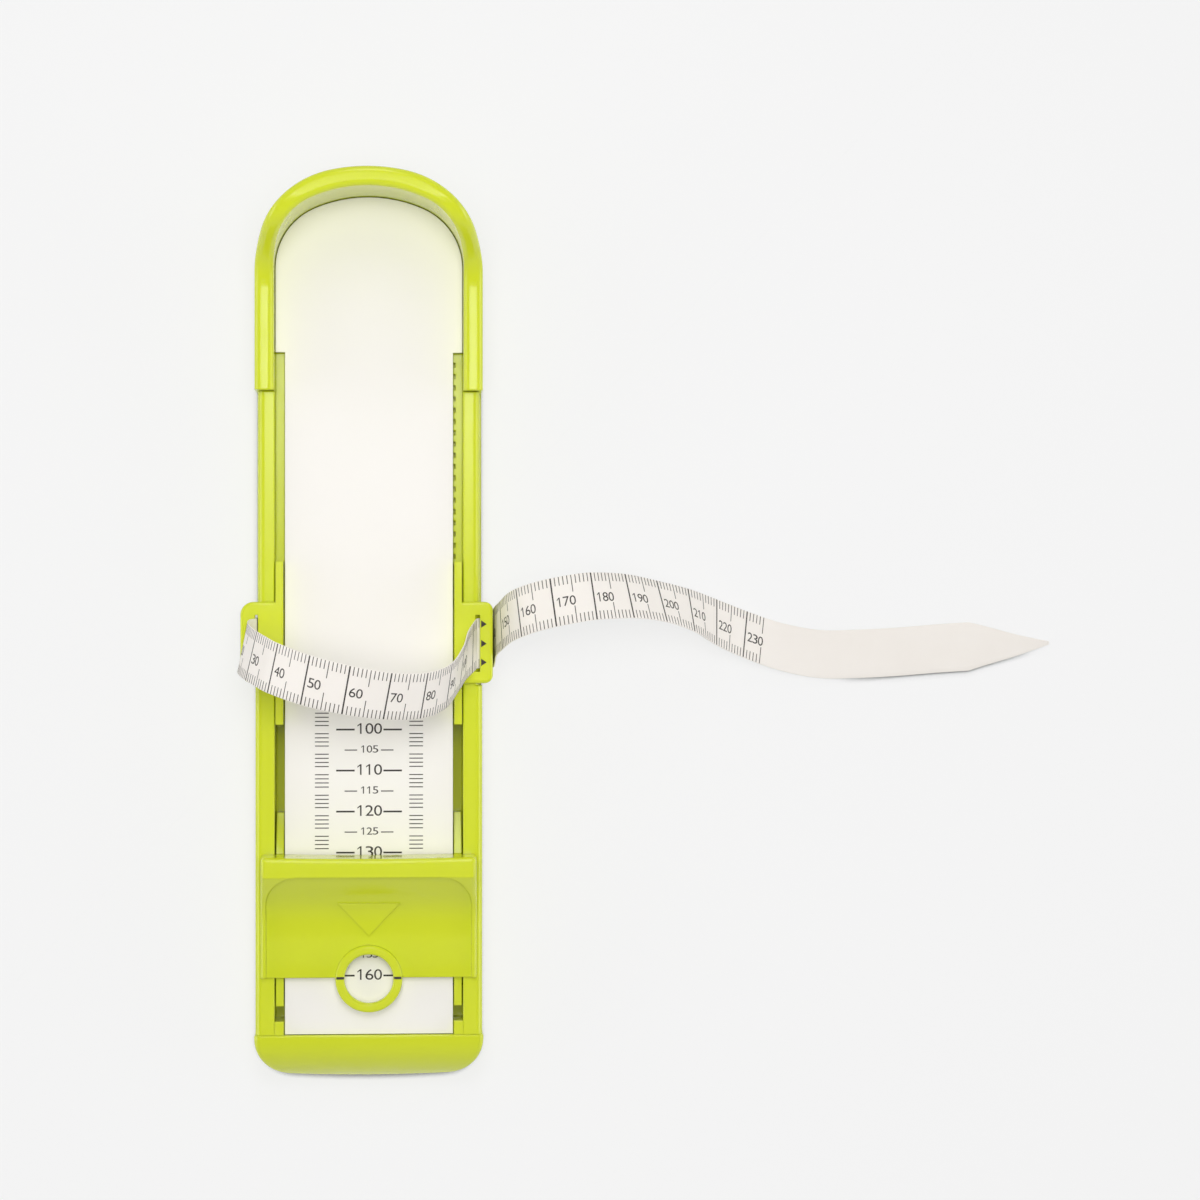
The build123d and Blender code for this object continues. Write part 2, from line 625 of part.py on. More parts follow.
def drill_carriage(half):
    """Pilot holes for the bridge screws."""
    for x, distance in CARRIAGE_SCREWS:
        half -= pilot_hole(x, distance, BRIDGE_TOP - 1, PAD_TOP - TIP_DEPTH, SMALL_SCREW_RADIUS)
    return half


def carriage_left():
    half = carriage_guide(-1) + carriage_tab(-1, LEFT_LIP, LEFT_CORNER, TAB_ROUNDING)
    half -= block(LEFT_SLOT_X - SLOT_WIDTH / 2, LEFT_SLOT_X + SLOT_WIDTH / 2,
                  SLOT_START, SLOT_END, TAB_BOTTOM - 1, GUIDE_TOP + 1)
    outer = LIP_FACE + LEFT_LIP
    for distance, height in rivet_places():
        half -= cross_pin(-outer - 1, -LIP_FACE + 1, distance, height, RIVET_RADIUS + HOLE_GAP)
        half -= cross_pin(-outer - 1, -outer + RIVET_HEAD_SINK, distance, height,
                          RIVET_HEAD_RADIUS + HOLE_GAP)
    return drill_carriage(half)


def carriage_right():
    half = carriage_guide(1) + carriage_tab(1, RIGHT_LIP, RIGHT_CORNER, RIGHT_LIP / 2 - 0.1)
    slot_corners = [
        (RIGHT_SLOT_X - RIGHT_SLOT_MOUTH / 2, GUIDE_TOP + 0.5),
        (RIGHT_SLOT_X + RIGHT_SLOT_MOUTH / 2, GUIDE_TOP + 0.5),
        (LIP_FACE, TAB_BOTTOM),
        (LIP_FACE, TAB_BOTTOM - 0.5),
        (LIP_FACE - RIGHT_SLOT_FOOT, TAB_BOTTOM - 0.5),
        (LIP_FACE - RIGHT_SLOT_FOOT, TAB_BOTTOM + 0.4),
    ]
    outline = [(x, y_at(SLOT_START), z) for x, z in slot_corners]
    slot = extrude(make_face(Polyline(*outline, close=True)), amount=SLOT_END - SLOT_START,
                   dir=(0, -1, 0))
    half -= slot
    pocket_half = CLICK_LEAF_HALF + SLIDE_GAP
    half -= block(PAD_OUTER - CLICK_POCKET_DEPTH, PAD_OUTER + 1, CLICK_PLACE - pocket_half,
                  CLICK_PLACE + pocket_half, BRIDGE_TOP - 1, SHELF_TOP + HOLE_GAP)
    return drill_carriage(half)


def carriage_bridge():
    bar = block(-BRIDGE_HALF, BRIDGE_HALF, BRIDGE_START, BRIDGE_END, BRIDGE_BOTTOM, BRIDGE_TOP)
    bar = fillet(bar.edges().filter_by(Axis.Z), BRIDGE_CORNER)
    bar -= block(-BRIDGE_RELIEF_HALF, BRIDGE_RELIEF_HALF, BRIDGE_START + BRIDGE_RIM,
                 BRIDGE_END - BRIDGE_RIM, BRIDGE_BOTTOM - 1, BRIDGE_TOP - BRIDGE_SKIN)
    for x, distance in CARRIAGE_SCREWS:
        bar -= post(x, distance, BRIDGE_BOTTOM - 1, BRIDGE_TOP + 1, SMALL_SCREW_RADIUS + HOLE_GAP)
    return bar


def carriage_screws():
    return [small_screw(x, distance, BRIDGE_BOTTOM - SMALL_HEAD_HEIGHT, PAD_TOP - TIP_DEPTH)
            for x, distance in CARRIAGE_SCREWS]


def click_spring():
    """Bowed steel leaf in the right pad, its middle in one of the tray's notches."""
    back = PAD_OUTER - CLICK_LEAF_INSET
    shoulder = back + CLICK_NOSE_RISE
    steps = [
        (-CLICK_LEAF_HALF, back),
        (-CLICK_NOSE_HALF, shoulder),
        (0, PLATE_HALF + CLICK_REACH),
        (CLICK_NOSE_HALF, shoulder),
        (CLICK_LEAF_HALF, back),
    ]
    points = [(x, y_at(CLICK_PLACE + step)) for step, x in steps]
    path = FilletPolyline(*points, radius=CLICK_LEAF)
    leaf = extrude(trace(path, CLICK_LEAF), amount=CLICK_LEAF_WIDTH)
    return Pos(0, 0, BRIDGE_TOP + CLICK_LEAF_RISE) * leaf


def cross_pin(x_low, x_high, distance, height, radius):
    """Cylinder lying along X."""
    length = x_high - x_low
    middle = Pos((x_low + x_high) / 2, y_at(distance), height)
    return middle * Rot(0, 90, 0) * Cylinder(radius, length)


def rivet_places():
    """(distance, height) of the two rivets through the left lip."""
    height = TAPE_END_Z + CLAMP_RISE + CLAMP_HEIGHT / 2
    return [(SLOT_MIDDLE + side * RIVET_SPACING / 2, height) for side in (-1, 1)]


def tape_clamp():
    low = TAPE_END_Z + CLAMP_RISE
    strip = block(CLAMP_X, CLAMP_X + CLAMP_THICKNESS, SLOT_MIDDLE - CLAMP_LENGTH / 2,
                  SLOT_MIDDLE + CLAMP_LENGTH / 2, low, low + CLAMP_HEIGHT)
    for distance, height in rivet_places():
        strip -= cross_pin(CLAMP_X - 1, CLAMP_X + 2, distance, height, RIVET_RADIUS + PILOT_GAP)
    return strip


def tape_clamp_rivets():
    seat = -LIP_FACE - LEFT_LIP + RIVET_HEAD_SINK
    return [cross_pin(seat - RIVET_HEAD_HEIGHT, seat, distance, height, RIVET_HEAD_RADIUS)
            + cross_pin(seat - 0.1, CLAMP_X + CLAMP_THICKNESS, distance, height, RIVET_RADIUS)
            for distance, height in rivet_places()]


# ---------------------------------------------------------------- tape

# Route of the loop from the left slot to the right one. Each point is its share of the way
# across, then millimetres towards the toes and above the tabs, then how far the heel-side
# edge leans to the right and upwards.
LOOP_ROUTE = [
    (0.000, 0.0, 0.0, 0.00, 0.00),
    (-0.041, 0.2, 4.4, 0.12, 0.08),
    (-0.052, 0.8, 9.3, 0.20, 0.13),
    (-0.039, 1.6, 14.1, 0.23, 0.15),
    (-0.008, 2.7, 18.6, 0.23, 0.16),
    (0.038, 4.0, 22.8, 0.22, 0.16),
    (0.092, 5.4, 26.7, 0.21, 0.16),
    (0.234, 8.0, 32.4, 0.19, 0.20),
    (0.410, 10.3, 34.3, 0.17, 0.29),
    (0.590, 11.8, 32.3, 0.17, 0.38),
    (0.752, 11.9, 27.2, 0.15, 0.40),
    (0.864, 9.9, 19.6, 0.12, 0.42),
    (0.925, 5.9, 11.1, 0.10, 0.43),
    (0.955, 2.8, 5.4, 0.04, 0.30),
    (1.000, 0.0, 0.0, 0.00, 0.00),
]

# Route of the tail: millimetres out from the right lip's loop and towards the toes, height
# above the table, then the lean of the heel-side edge as above.
TAIL_ROUTE = [
    (0.0, 0.0, 5.6, 0.00, 0.00),
    (0.0, -1.1, 11.0, -0.02, -0.15),
    (0.1, -2.8, 16.9, -0.04, -0.27),
    (1.6, -4.6, 22.3, -0.05, -0.30),
    (3.3, -6.3, 26.8, -0.08, -0.29),
    (5.7, -7.6, 30.9, -0.11, -0.28),
    (9.3, -8.9, 34.1, -0.12, -0.28),
    (13.7, -10.0, 35.8, -0.12, -0.28),
    (18.5, -10.9, 36.0, -0.12, -0.30),
    (23.3, -11.5, 34.7, -0.12, -0.34),
    (32.1, -11.5, 30.1, -0.16, -0.46),
    (40.3, -10.2, 24.5, -0.18, -0.53),
    (48.0, -8.0, 18.4, -0.10, -0.49),
    (54.8, -5.0, 11.7, 0.04, -0.38),
    (62.3, -2.0, 6.1, 0.12, -0.33),
    (71.2, 1.0, 2.7, 0.12, -0.27),
    (81.1, 2.9, 1.5, 0.09, -0.17),
    (91.1, 2.9, 0.9, 0.05, -0.05),
    (101.1, 2.4, 0.6, 0.02, 0.02),
    (111.1, 1.6, 0.5, 0.00, 0.02),
    (121.1, 1.0, 0.7, 0.00, 0.05),
    (131.1, 0.8, 1.2, 0.00, 0.15),
    (139.0, 0.2, 1.8, 0.00, 0.35),
]


def smooth_route(route, steps):
    """Points of a smooth curve through a route, with as many steps between its points."""
    padded = [route[0]] + route + [route[-1]]
    result = []
    for before, start, end, after in zip(padded, padded[1:], padded[2:], padded[3:]):
        for step in range(steps):
            t = step / steps
            weights = (
                (-t + 2 * t ** 2 - t ** 3) / 2,
                (2 - 5 * t ** 2 + 3 * t ** 3) / 2,
                (t + 4 * t ** 2 - 3 * t ** 3) / 2,
                (t ** 3 - t ** 2) / 2,
            )
            rows = zip(before, start, end, after)
            result.append(tuple(sum(w * v for w, v in zip(weights, row)) for row in rows))
    result.append(route[-1])
    return result


def ribbon(centres, leans, first_direction, widths):
    """Thin strip through these centres, with its width turned by the leans."""
    sections = []
    count = len(centres)
    for index, centre in enumerate(centres):
        along = centres[min(index + 1, count - 1)] - centres[max(index - 1, 0)]
        if index == 0:
            along = first_direction
        lean_x, lean_z = leans[index]
        across = Vector(lean_x, sqrt(1 - lean_x ** 2 - lean_z ** 2), lean_z)
        normal = along.cross(across).normalized() * (TAPE_THICKNESS / 2)
        half = across * (widths[index] / 2)
        corners = [centre + half + normal, centre + half - normal,
                   centre - half - normal, centre - half + normal]
        sections.append(Face(Wire.make_polygon(corners, close=True)))
    return loft(sections, ruled=True)


def tape_loop():
    points = smooth_route(LOOP_ROUTE, 2)
    span = RIGHT_SLOT_X - LEFT_SLOT_X
    centres = [Vector(LEFT_SLOT_X + share * span, y_at(SLOT_MIDDLE + forward), GUIDE_TOP + up)
               for share, forward, up, lean_x, lean_z in points]
    leans = [point[3:] for point in points]
    return ribbon(centres, leans, Vector(0, 0, 1), [TAPE_WIDTH] * len(points))


def tape_tail():
    points = smooth_route(TAIL_ROUTE, 2)
    centres = [Vector(TAIL_X + out, y_at(SLOT_MIDDLE + forward), height)
               for out, forward, height, lean_x, lean_z in points]
    leans = [point[3:] for point in points]
    tip = centres[-1]
    widths = []
    for centre in centres:
        share = min(1, (tip - centre).length / TAPER_LENGTH)
        widths.append(TIP_WIDTH + (TAPE_WIDTH - TIP_WIDTH) * share)
    return ribbon(centres, leans, Vector(0, 0, 1), widths)


def flat_strip(path_points, radius):
    """Tape that stands upright along Y and follows a path given by (x, z) points."""
    path = FilletPolyline(*[(x, z) for x, z in path_points], radius=radius)
    strip = extrude(trace(path, TAPE_THICKNESS), amount=TAPE_WIDTH / 2, both=True)
    return Pos(0, y_at(SLOT_MIDDLE), 0) * Rot(90, 0, 0) * strip


def tape_end():
    strip = flat_strip(
        [
            (LEFT_SLOT_X, GUIDE_TOP),
            (LEFT_SLOT_X, TAB_BOTTOM + SLIDE_GAP),
            (CLAMPED_X, TAPE_END_Z + TAPE_CLEARS_SLOT),
            (CLAMPED_X, TAPE_END_Z),
        ],
        TAPE_BEND,
    )
    for distance, height in rivet_places():
        strip -= cross_pin(CLAMPED_X - 2, CLAMPED_X + 2, distance, height,
                           RIVET_RADIUS + PILOT_GAP)
    return strip


def tape_turn():
    low = TURN_HEIGHT - TURN_RADIUS
    return flat_strip(
        [
            (RIGHT_SLOT_X, GUIDE_TOP),
            (TURN_X, TAB_BOTTOM - 0.1),
            (TURN_X, low),
            (TAIL_X, low),
            (TAIL_X, TAIL_HEIGHT),
        ],
        TURN_RADIUS - 0.01,
    )


# ---------------------------------------------------------------- toe bar

TOE_SCREWS = [
    (side * (ARM_INNER - FOOT_WIDTH / 2), distance)
    for side in (-1, 1)
    for distance in (FOOT_START + FOOT_SCREW_STEP, FOOT_END - FOOT_SCREW_STEP)
]


def bar_profile(inset, drop, back):
    """Side view of the hood as a solid across it, its sides moved in and its top down."""
    face = BAR_FACE - BAR_FACE_ROOM
    top = PLATE_TOP + BAR_RISE - drop
    ridge = BAR_FACE + RIDGE_LENGTH - drop * 0.2
    low = PLATE_TOP + BAR_BACK_RISE - drop
    middle = (BAR_FACE + BAR_DIP * (BAR_BACK - BAR_FACE), PLATE_TOP + BAR_DIP * BAR_RISE - drop)
    bottom = PLATE_TOP + SLIDE_GAP - 1
    lines = [
        Line((0, y_at(face), bottom), (0, y_at(face), top)),
        Line((0, y_at(face), top), (0, y_at(ridge), top)),
        Spline((0, y_at(ridge), top), (0, y_at(middle[0]), middle[1]), (0, y_at(back), low),
               tangents=[(0, -1, -1.0), (0, -1, -0.12)]),
        Line((0, y_at(back), low), (0, y_at(back), bottom)),
        Line((0, y_at(back), bottom), (0, y_at(face), bottom)),
    ]
    half = BAR_HALF_WIDTH - inset
    foot = half + BAR_SPREAD
    side_view = extrude(make_face(Curve() + lines), amount=foot + 1, dir=(1, 0, 0), both=True)
    corners = [(-half, PLATE_TOP + BAR_RISE), (-foot, bottom), (foot, bottom),
               (half, PLATE_TOP + BAR_RISE)]
    front_view = make_face(Polyline(*[(x, y_at(face), z) for x, z in corners], close=True))
    return side_view & extrude(front_view, amount=back + 1 - face, dir=(0, -1, 0))


def face_roller(inset):
    """Large cylinder, leaning back a little, that hollows the face across its width."""
    centre = BAR_FACE + inset - BAR_FACE_RADIUS
    place = Pos(0, y_at(centre), PLATE_TOP + BAR_RISE / 2) * Rot(BAR_FACE_LEAN, 0, 0)
    return place * Cylinder(BAR_FACE_RADIUS, 4 * BAR_RISE)


def rounded_bar():
    """Outer shape of the hood, its face and its side edges rounded at the top."""
    bar = bar_profile(0, 0, BAR_BACK) - face_roller(0)
    face_edge = bar.edges().group_by(Axis.Z)[-1].sort_by(Axis.Y)[-1]
    bar = fillet(face_edge, FACE_ROUNDING)
    sides = [
        edge
        for edge in bar.edges()
        if edge.center().Z > PLATE_TOP + BAR_BACK_RISE
        and abs(edge.center().X) > BAR_HALF_WIDTH - 0.01
        and abs(edge.tangent_at(0.5).Z) < 0.95
    ]
    return fillet(sides, BAR_ROUNDING)


def scoop():
    """What is taken off the back, inside a raised rim at its top and its sides."""
    half = BAR_HALF_WIDTH - RIM_WIDTH
    top = y_at(BAR_FACE + RIDGE_LENGTH)
    back = y_at(BAR_BACK + 2)
    rim = FilletPolyline((-half, back), (-half, top), (half, top), (half, back),
                         radius=SCOOP_CORNER)
    plan = make_face(rim + Line((half, back), (-half, back)))
    return raised(plan, PLATE_TOP, PLATE_TOP + BAR_RISE + 1) - bar_profile(0, SCOOP_DEPTH,
                                                                        BAR_BACK + 1)


def raised_arrow():
    """Arrow on the back that points at the ring, a little above the floor of the scoop."""
    corners = [(-ARROW_HALF_WIDTH, y_at(ARROW_START)), (0, y_at(ARROW_START + ARROW_LENGTH)),
               (ARROW_HALF_WIDTH, y_at(ARROW_START))]
    plan = make_face(Polyline(*corners, close=True))
    above = bar_profile(0, SCOOP_DEPTH - ARROW_RISE, BAR_BACK)
    return (raised(plan, PLATE_TOP, PLATE_TOP + BAR_RISE) & above) - bar_profile(
        0, SCOOP_DEPTH + BAR_SHELL / 2, BAR_BACK)


def reading_ring():
    ring = post(0, RING_CENTRE, PLATE_TOP + RING_LOW_RISE, PLATE_TOP + RING_TOP_RISE, RING_OUTER)
    ring -= post(0, RING_CENTRE, PLATE_TOP, PLATE_TOP + BAR_RISE, RING_INNER)
    return fillet(ring.edges().group_by(Axis.Z)[-1], RING_ROUNDING)


def toe_hood():
    hood = rounded_bar() - scoop()
    outer = hood
    inner = bar_profile(BAR_SHELL, SCOOP_DEPTH + BAR_SHELL, BAR_BACK - BAR_SHELL)
    hood -= inner - face_roller(BAR_SHELL)
    for side in (-1, 1):
        start = BAR_FACE + WEB_STEP
        end = BAR_BACK - WEB_STEP
        web = side_block(side, ARM_INNER, ARM_OUTER, start, end, ARM_BOTTOM, PLATE_TOP + BAR_RISE)
        below = side_block(side, ARM_INNER, ARM_OUTER, start, end, ARM_BOTTOM, TAB_BOTTOM)
        hood += web & (outer + below)
        hood -= side_block(side, ARM_OUTER, BODY_HALF, BAR_FACE - BAR_FACE_ROOM, BAR_BACK + 1,
                           0, TAB_BOTTOM)
        hood += toe_arm(side)
    hood -= block(-ARM_INNER, ARM_INNER, BAR_FACE - BAR_FACE_ROOM, BAR_BACK + 1, PAD_TOP,
                  PLATE_TOP + SLIDE_GAP)
    hood += raised_arrow()
    hood -= post(0, RING_CENTRE, PLATE_TOP + SLIDE_GAP, PLATE_TOP + BAR_RISE, RING_INNER)
    hood += reading_ring()
    for x, distance in TOE_SCREWS:
        hood -= pilot_hole(x, distance, TOE_BRIDGE_TOP - 1, PAD_TOP - TIP_DEPTH,
                           SMALL_SCREW_RADIUS)
    return hood


def toe_arm(side):
    """Guide arm in the channel, with the foot that reaches under the plate."""
    low, high = sorted((side * ARM_INNER, side * ARM_OUTER))
    arm_top = PLATE_TOP + ARM_TOP_RISE
    corners = [
        (ARM_START, ARM_BOTTOM),
        (ARM_START, PLATE_TOP - ARM_TIP_DROP),
        (ARM_RAMP_END, arm_top),
        (ARM_END, arm_top),
        (ARM_END, ARM_BOTTOM),
    ]
    arm = side_prism(corners, low, high)
    arm -= side_block(side, ARM_INNER - 1, ARM_OUTER + 1, ARM_TAIL_START, ARM_END + 1,
                      0, TOE_SHELF_TOP + SLIDE_GAP)
    arm += side_block(side, ARM_INNER - FOOT_WIDTH, ARM_INNER + 0.5, FOOT_START, FOOT_END,
                      TOE_BRIDGE_TOP, PAD_TOP)
    return arm


def toe_bridge():
    half = ARM_INNER - TOE_BRIDGE_END_GAP
    bar = block(-half, half, FOOT_START, FOOT_END, TOE_BRIDGE_BOTTOM, TOE_BRIDGE_TOP)
    bar = fillet(bar.edges().filter_by(Axis.Z), BRIDGE_CORNER)
    for x, distance in TOE_SCREWS:
        bar -= post(x, distance, TOE_BRIDGE_BOTTOM - 1, TOE_BRIDGE_TOP + 1,
                    SMALL_SCREW_RADIUS + HOLE_GAP)
    return bar


def toe_screws():
    return [small_screw(x, distance, TOE_BRIDGE_BOTTOM - SMALL_HEAD_HEIGHT, PAD_TOP - TIP_DEPTH)
            for x, distance in TOE_SCREWS]


def toe_brake_spring():
    """Bow leaf between the bridge and the floor of the tray."""
    low = FLOOR + HOLE_GAP + BRAKE_THICKNESS / 2
    high = TOE_BRIDGE_BOTTOM - BRAKE_THICKNESS / 2
    middle = (FOOT_START + FOOT_END) / 2
    path = ThreePointArc(
        (y_at(middle - BRAKE_HALF), high),
        (y_at(middle), low),
        (y_at(middle + BRAKE_HALF), high),
    )
    leaf = extrude(trace(path, BRAKE_THICKNESS), amount=BRAKE_WIDTH / 2, both=True)
    leaf = Plane.YZ * leaf
    above = block(-BRAKE_WIDTH, BRAKE_WIDTH, FOOT_START, FOOT_END, TOE_BRIDGE_BOTTOM,
                  TOE_BRIDGE_TOP)
    return leaf - above


NODES = {
    "base_tray": base_tray,
    "heel_cup": heel_cup,
    "toe_end_cap": toe_end_cap,
    "foot_plate": foot_plate,
    "heel_cup_screws": heel_cup_screws,
    "end_cap_screws": end_cap_screws,
    "plate_screws": plate_screws,
    "carriage_left": carriage_left,
    "carriage_right": carriage_right,
    "carriage_bridge": carriage_bridge,
    "carriage_screws": carriage_screws,
    "click_spring": click_spring,
    "tape_clamp": tape_clamp,
    "tape_clamp_rivets": tape_clamp_rivets,
    "tape_end": tape_end,
    "tape_loop": tape_loop,
    "tape_turn": tape_turn,
    "tape_tail": tape_tail,
    "toe_hood": toe_hood,
    "toe_bridge": toe_bridge,
    "toe_screws": toe_screws,
    "toe_brake_spring": toe_brake_spring,
}

for name, make in NODES.items():
    made = make()
    shapes = made if isinstance(made, list) else [made]
    solids = [solid for shape in shapes for solid in shape.solids()]
    export_step(Compound(children=solids), f"parts/{name}.step")
    print(name, len(solids), round(sum(solid.volume for solid in solids), 1))
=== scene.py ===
import math

import bmesh
import bpy
from mathutils import Matrix, Vector
from mathutils.bvhtree import BVHTree


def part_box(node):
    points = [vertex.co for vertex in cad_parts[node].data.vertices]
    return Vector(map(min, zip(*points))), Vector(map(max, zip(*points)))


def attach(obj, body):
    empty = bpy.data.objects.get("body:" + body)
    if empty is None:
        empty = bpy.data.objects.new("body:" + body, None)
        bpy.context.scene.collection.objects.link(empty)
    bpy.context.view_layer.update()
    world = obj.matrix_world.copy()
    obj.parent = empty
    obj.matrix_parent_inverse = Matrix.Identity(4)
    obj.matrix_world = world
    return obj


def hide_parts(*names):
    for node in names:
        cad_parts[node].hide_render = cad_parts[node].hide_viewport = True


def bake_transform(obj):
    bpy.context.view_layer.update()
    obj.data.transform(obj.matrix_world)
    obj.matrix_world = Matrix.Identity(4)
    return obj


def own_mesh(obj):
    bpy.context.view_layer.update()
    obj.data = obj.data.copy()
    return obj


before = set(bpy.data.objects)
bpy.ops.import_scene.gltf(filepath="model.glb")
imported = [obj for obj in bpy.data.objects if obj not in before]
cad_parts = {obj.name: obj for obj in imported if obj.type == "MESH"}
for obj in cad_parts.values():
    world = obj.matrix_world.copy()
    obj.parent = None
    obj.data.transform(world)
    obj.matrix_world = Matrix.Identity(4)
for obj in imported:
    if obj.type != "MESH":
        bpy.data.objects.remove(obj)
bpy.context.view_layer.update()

# ---------------------------------------------------------------- studio
# A pale sweep under a large soft key overhead, with a nearer softbox above the heel half. A pale
# dome gives the gloss its reflections: a long box on each side and two panels towards the heel.


def linear(code):
    """Linear colour of an sRGB hex value."""
    shares = [int(code[place:place + 2], 16) / 255 for place in (0, 2, 4)]
    return tuple(s / 12.92 if s <= 0.04045 else ((s + 0.055) / 1.055) ** 2.4
                 for s in shares) + (1.0,)


def add(tree, kind, inputs=(), **settings):
    """Adds a node to a tree: settings are its properties, inputs are values or sockets to join."""
    node = tree.nodes.new(kind)
    for name, value in settings.items():
        setattr(node, name, value)
    for key, value in dict(inputs).items():
        if isinstance(value, bpy.types.NodeSocket):
            tree.links.new(value, node.inputs[key])
        else:
            node.inputs[key].default_value = value
    return node


scene = bpy.context.scene
scene.view_settings.view_transform = "Standard"

MM = 0.001  # metres
BACKGROUND = linear("F5F5F5")
# the dome's levels: near the horizon, overhead, added at the toe end, and its three bright boxes
SIDE_FILL = 0.60
OVERHEAD_FILL = 0.20
TOE_FILL = 0.15
SIDE_BOX = 2.6
HEEL_BOX = 4.0
PANEL = 4.5
MATT_SHARE = 0.7  # of the dome's light that reaches matt surfaces

dome = bpy.data.worlds.new("studio dome")
scene.world = dome
dome.use_nodes = True
sky = dome.node_tree
sky.nodes.clear()
towards = add(sky, "ShaderNodeTexCoord")
parts = add(sky, "ShaderNodeSeparateXYZ", {0: towards.outputs["Generated"]})
height = add(sky, "ShaderNodeMapRange", {
    "Value": parts.outputs["Z"], "From Min": 0.1, "From Max": 0.95,
    "To Min": SIDE_FILL, "To Max": OVERHEAD_FILL})
sideways = add(sky, "ShaderNodeMath", {0: parts.outputs["X"]}, operation="ABSOLUTE")
slope = add(sky, "ShaderNodeMath", {0: parts.outputs["Y"], 1: parts.outputs["Z"]},
            operation="DIVIDE")
fades = {}
# its name, what it follows, where it starts, where it is full and its strength there
for name, follows, first, full, strength in (
        ("side reach", sideways.outputs[0], 0.80, 0.93, 1.0),
        ("side low", parts.outputs["Z"], 0.05, 0.15, 1.0),
        ("toe end", parts.outputs["Y"], -0.35, -0.80, TOE_FILL),
        ("panel near", slope.outputs[0], 0.015, 0.05, 1.0),
        ("panel far", slope.outputs[0], 0.115, 0.095, 1.0),
        ("panel ends", sideways.outputs[0], 0.13, 0.04, 1.0),
        ("heel low", parts.outputs["Z"], 0.55, 0.62, 1.0),
        ("heel high", parts.outputs["Y"], 0.42, 0.50, 1.0),
        ("heel ends", sideways.outputs[0], 0.12, 0.05, 1.0)):
    fades[name] = add(sky, "ShaderNodeMapRange", {
        "Value": follows, "From Min": first, "From Max": full, "To Min": 0.0,
        "To Max": strength}, interpolation_type="SMOOTHSTEP").outputs[0]
above = add(sky, "ShaderNodeMath", {0: parts.outputs["Z"], 1: 0.5}, operation="GREATER_THAN")
light_level = add(sky, "ShaderNodeMath", {0: height.outputs[0], 1: fades["toe end"]},
                  operation="ADD").outputs[0]
for strength, edges in (
        (SIDE_BOX, (fades["side reach"], fades["side low"])),
        (HEEL_BOX, (fades["heel low"], fades["heel high"], fades["heel ends"])),
        (PANEL, (fades["panel near"], fades["panel far"], fades["panel ends"],
                 above.outputs[0]))):
    patch = edges[0]
    for edge in edges[1:]:
        patch = add(sky, "ShaderNodeMath", {0: patch, 1: edge}, operation="MULTIPLY").outputs[0]
    light_level = add(sky, "ShaderNodeMath", {0: patch, 1: strength, 2: light_level},
                      operation="MULTIPLY_ADD").outputs[0]
sight = add(sky, "ShaderNodeLightPath")
spread_light = add(sky, "ShaderNodeMapRange", {
    "Value": sight.outputs["Is Diffuse Ray"], "To Min": 1.0, "To Max": MATT_SHARE})
dome_light = add(sky, "ShaderNodeMath", {0: light_level, 1: spread_light.outputs[0]},
                 operation="MULTIPLY")
lit_dome = add(sky, "ShaderNodeBackground", {"Color": (1, 1, 1, 1),
                                            "Strength": dome_light.outputs[0]})
plain_dome = add(sky, "ShaderNodeBackground", {"Color": BACKGROUND, "Strength": 1.0})
seen_dome = add(sky, "ShaderNodeMixShader", {
    0: sight.outputs["Is Camera Ray"], 1: lit_dome.outputs[0], 2: plain_dome.outputs[0]})
add(sky, "ShaderNodeOutputWorld", {"Surface": seen_dome.outputs[0]})

KEY_STRENGTH = 1.06
KEY_SPREAD = math.radians(26)
KEY_TILT = math.radians(-2)
NEAR_WATTS = 0.52
NEAR_SIZE = 0.14
NEAR_PLACE = (0, 0.08, 0.42)

key_lamp = bpy.data.objects.new("key lamp", bpy.data.lights.new("key lamp", "SUN"))
key_lamp.data.energy = KEY_STRENGTH
key_lamp.data.angle = KEY_SPREAD
key_lamp.rotation_euler = (KEY_TILT, 0, 0)
near_lamp = bpy.data.objects.new("near lamp", bpy.data.lights.new("near lamp", "AREA"))
near_lamp.data.energy = NEAR_WATTS
near_lamp.data.size = NEAR_SIZE
near_lamp.location = NEAR_PLACE
near_lamp.visible_camera = False
for lamp in (key_lamp, near_lamp):
    lamp.visible_glossy = False
    scene.collection.objects.link(lamp)

FLOOR_REACH = 6.0
FLOOR_DROP = 0.1 * MM
GLOW_SHARE = 0.8  # of the floor in the camera's sight that is plain background
# the painted contact shadow in the floor's glow: how far it reaches, and the occlusion at which it
# is darkest and at which it clears
CONTACT_REACH = 2.6 * MM
CONTACT_DARK = 0.45
CONTACT_CLEAR = 0.76
CONTACT_LOOKS = {"Y": 0.87, "Z": 0.5}  # towards the heel, so the shade falls on the toe side

floor_mesh = bpy.data.meshes.new("sweep")
floor_mesh.from_pydata([(x * FLOOR_REACH, y * FLOOR_REACH, -FLOOR_DROP)
                        for x, y in ((-1, -1), (1, -1), (1, 1), (-1, 1))], [], [(0, 1, 2, 3)])
floor = bpy.data.objects.new("sweep", floor_mesh)
scene.collection.objects.link(floor)
paper = bpy.data.materials.new("matt studio paper")
paper.use_nodes = True
paper.node_tree.nodes.clear()
paper_face = add(paper.node_tree, "ShaderNodeBsdfDiffuse", {"Color": BACKGROUND})
looks = add(paper.node_tree, "ShaderNodeCombineXYZ", CONTACT_LOOKS)
# the floor's glow is darkened by ambient occlusion near the object: a painted contact shadow that
# falls on the toe side
paper_open = add(paper.node_tree, "ShaderNodeAmbientOcclusion", {
    "Distance": CONTACT_REACH, "Normal": looks.outputs[0]}, samples=8)
painted_contact_shade = add(paper.node_tree, "ShaderNodeMapRange", {
    "Value": paper_open.outputs["AO"], "From Min": CONTACT_DARK, "From Max": CONTACT_CLEAR,
    "To Min": 0.0, "To Max": 1.0})
paper_glow = add(paper.node_tree, "ShaderNodeEmission", {
    "Color": BACKGROUND, "Strength": painted_contact_shade.outputs[0]})
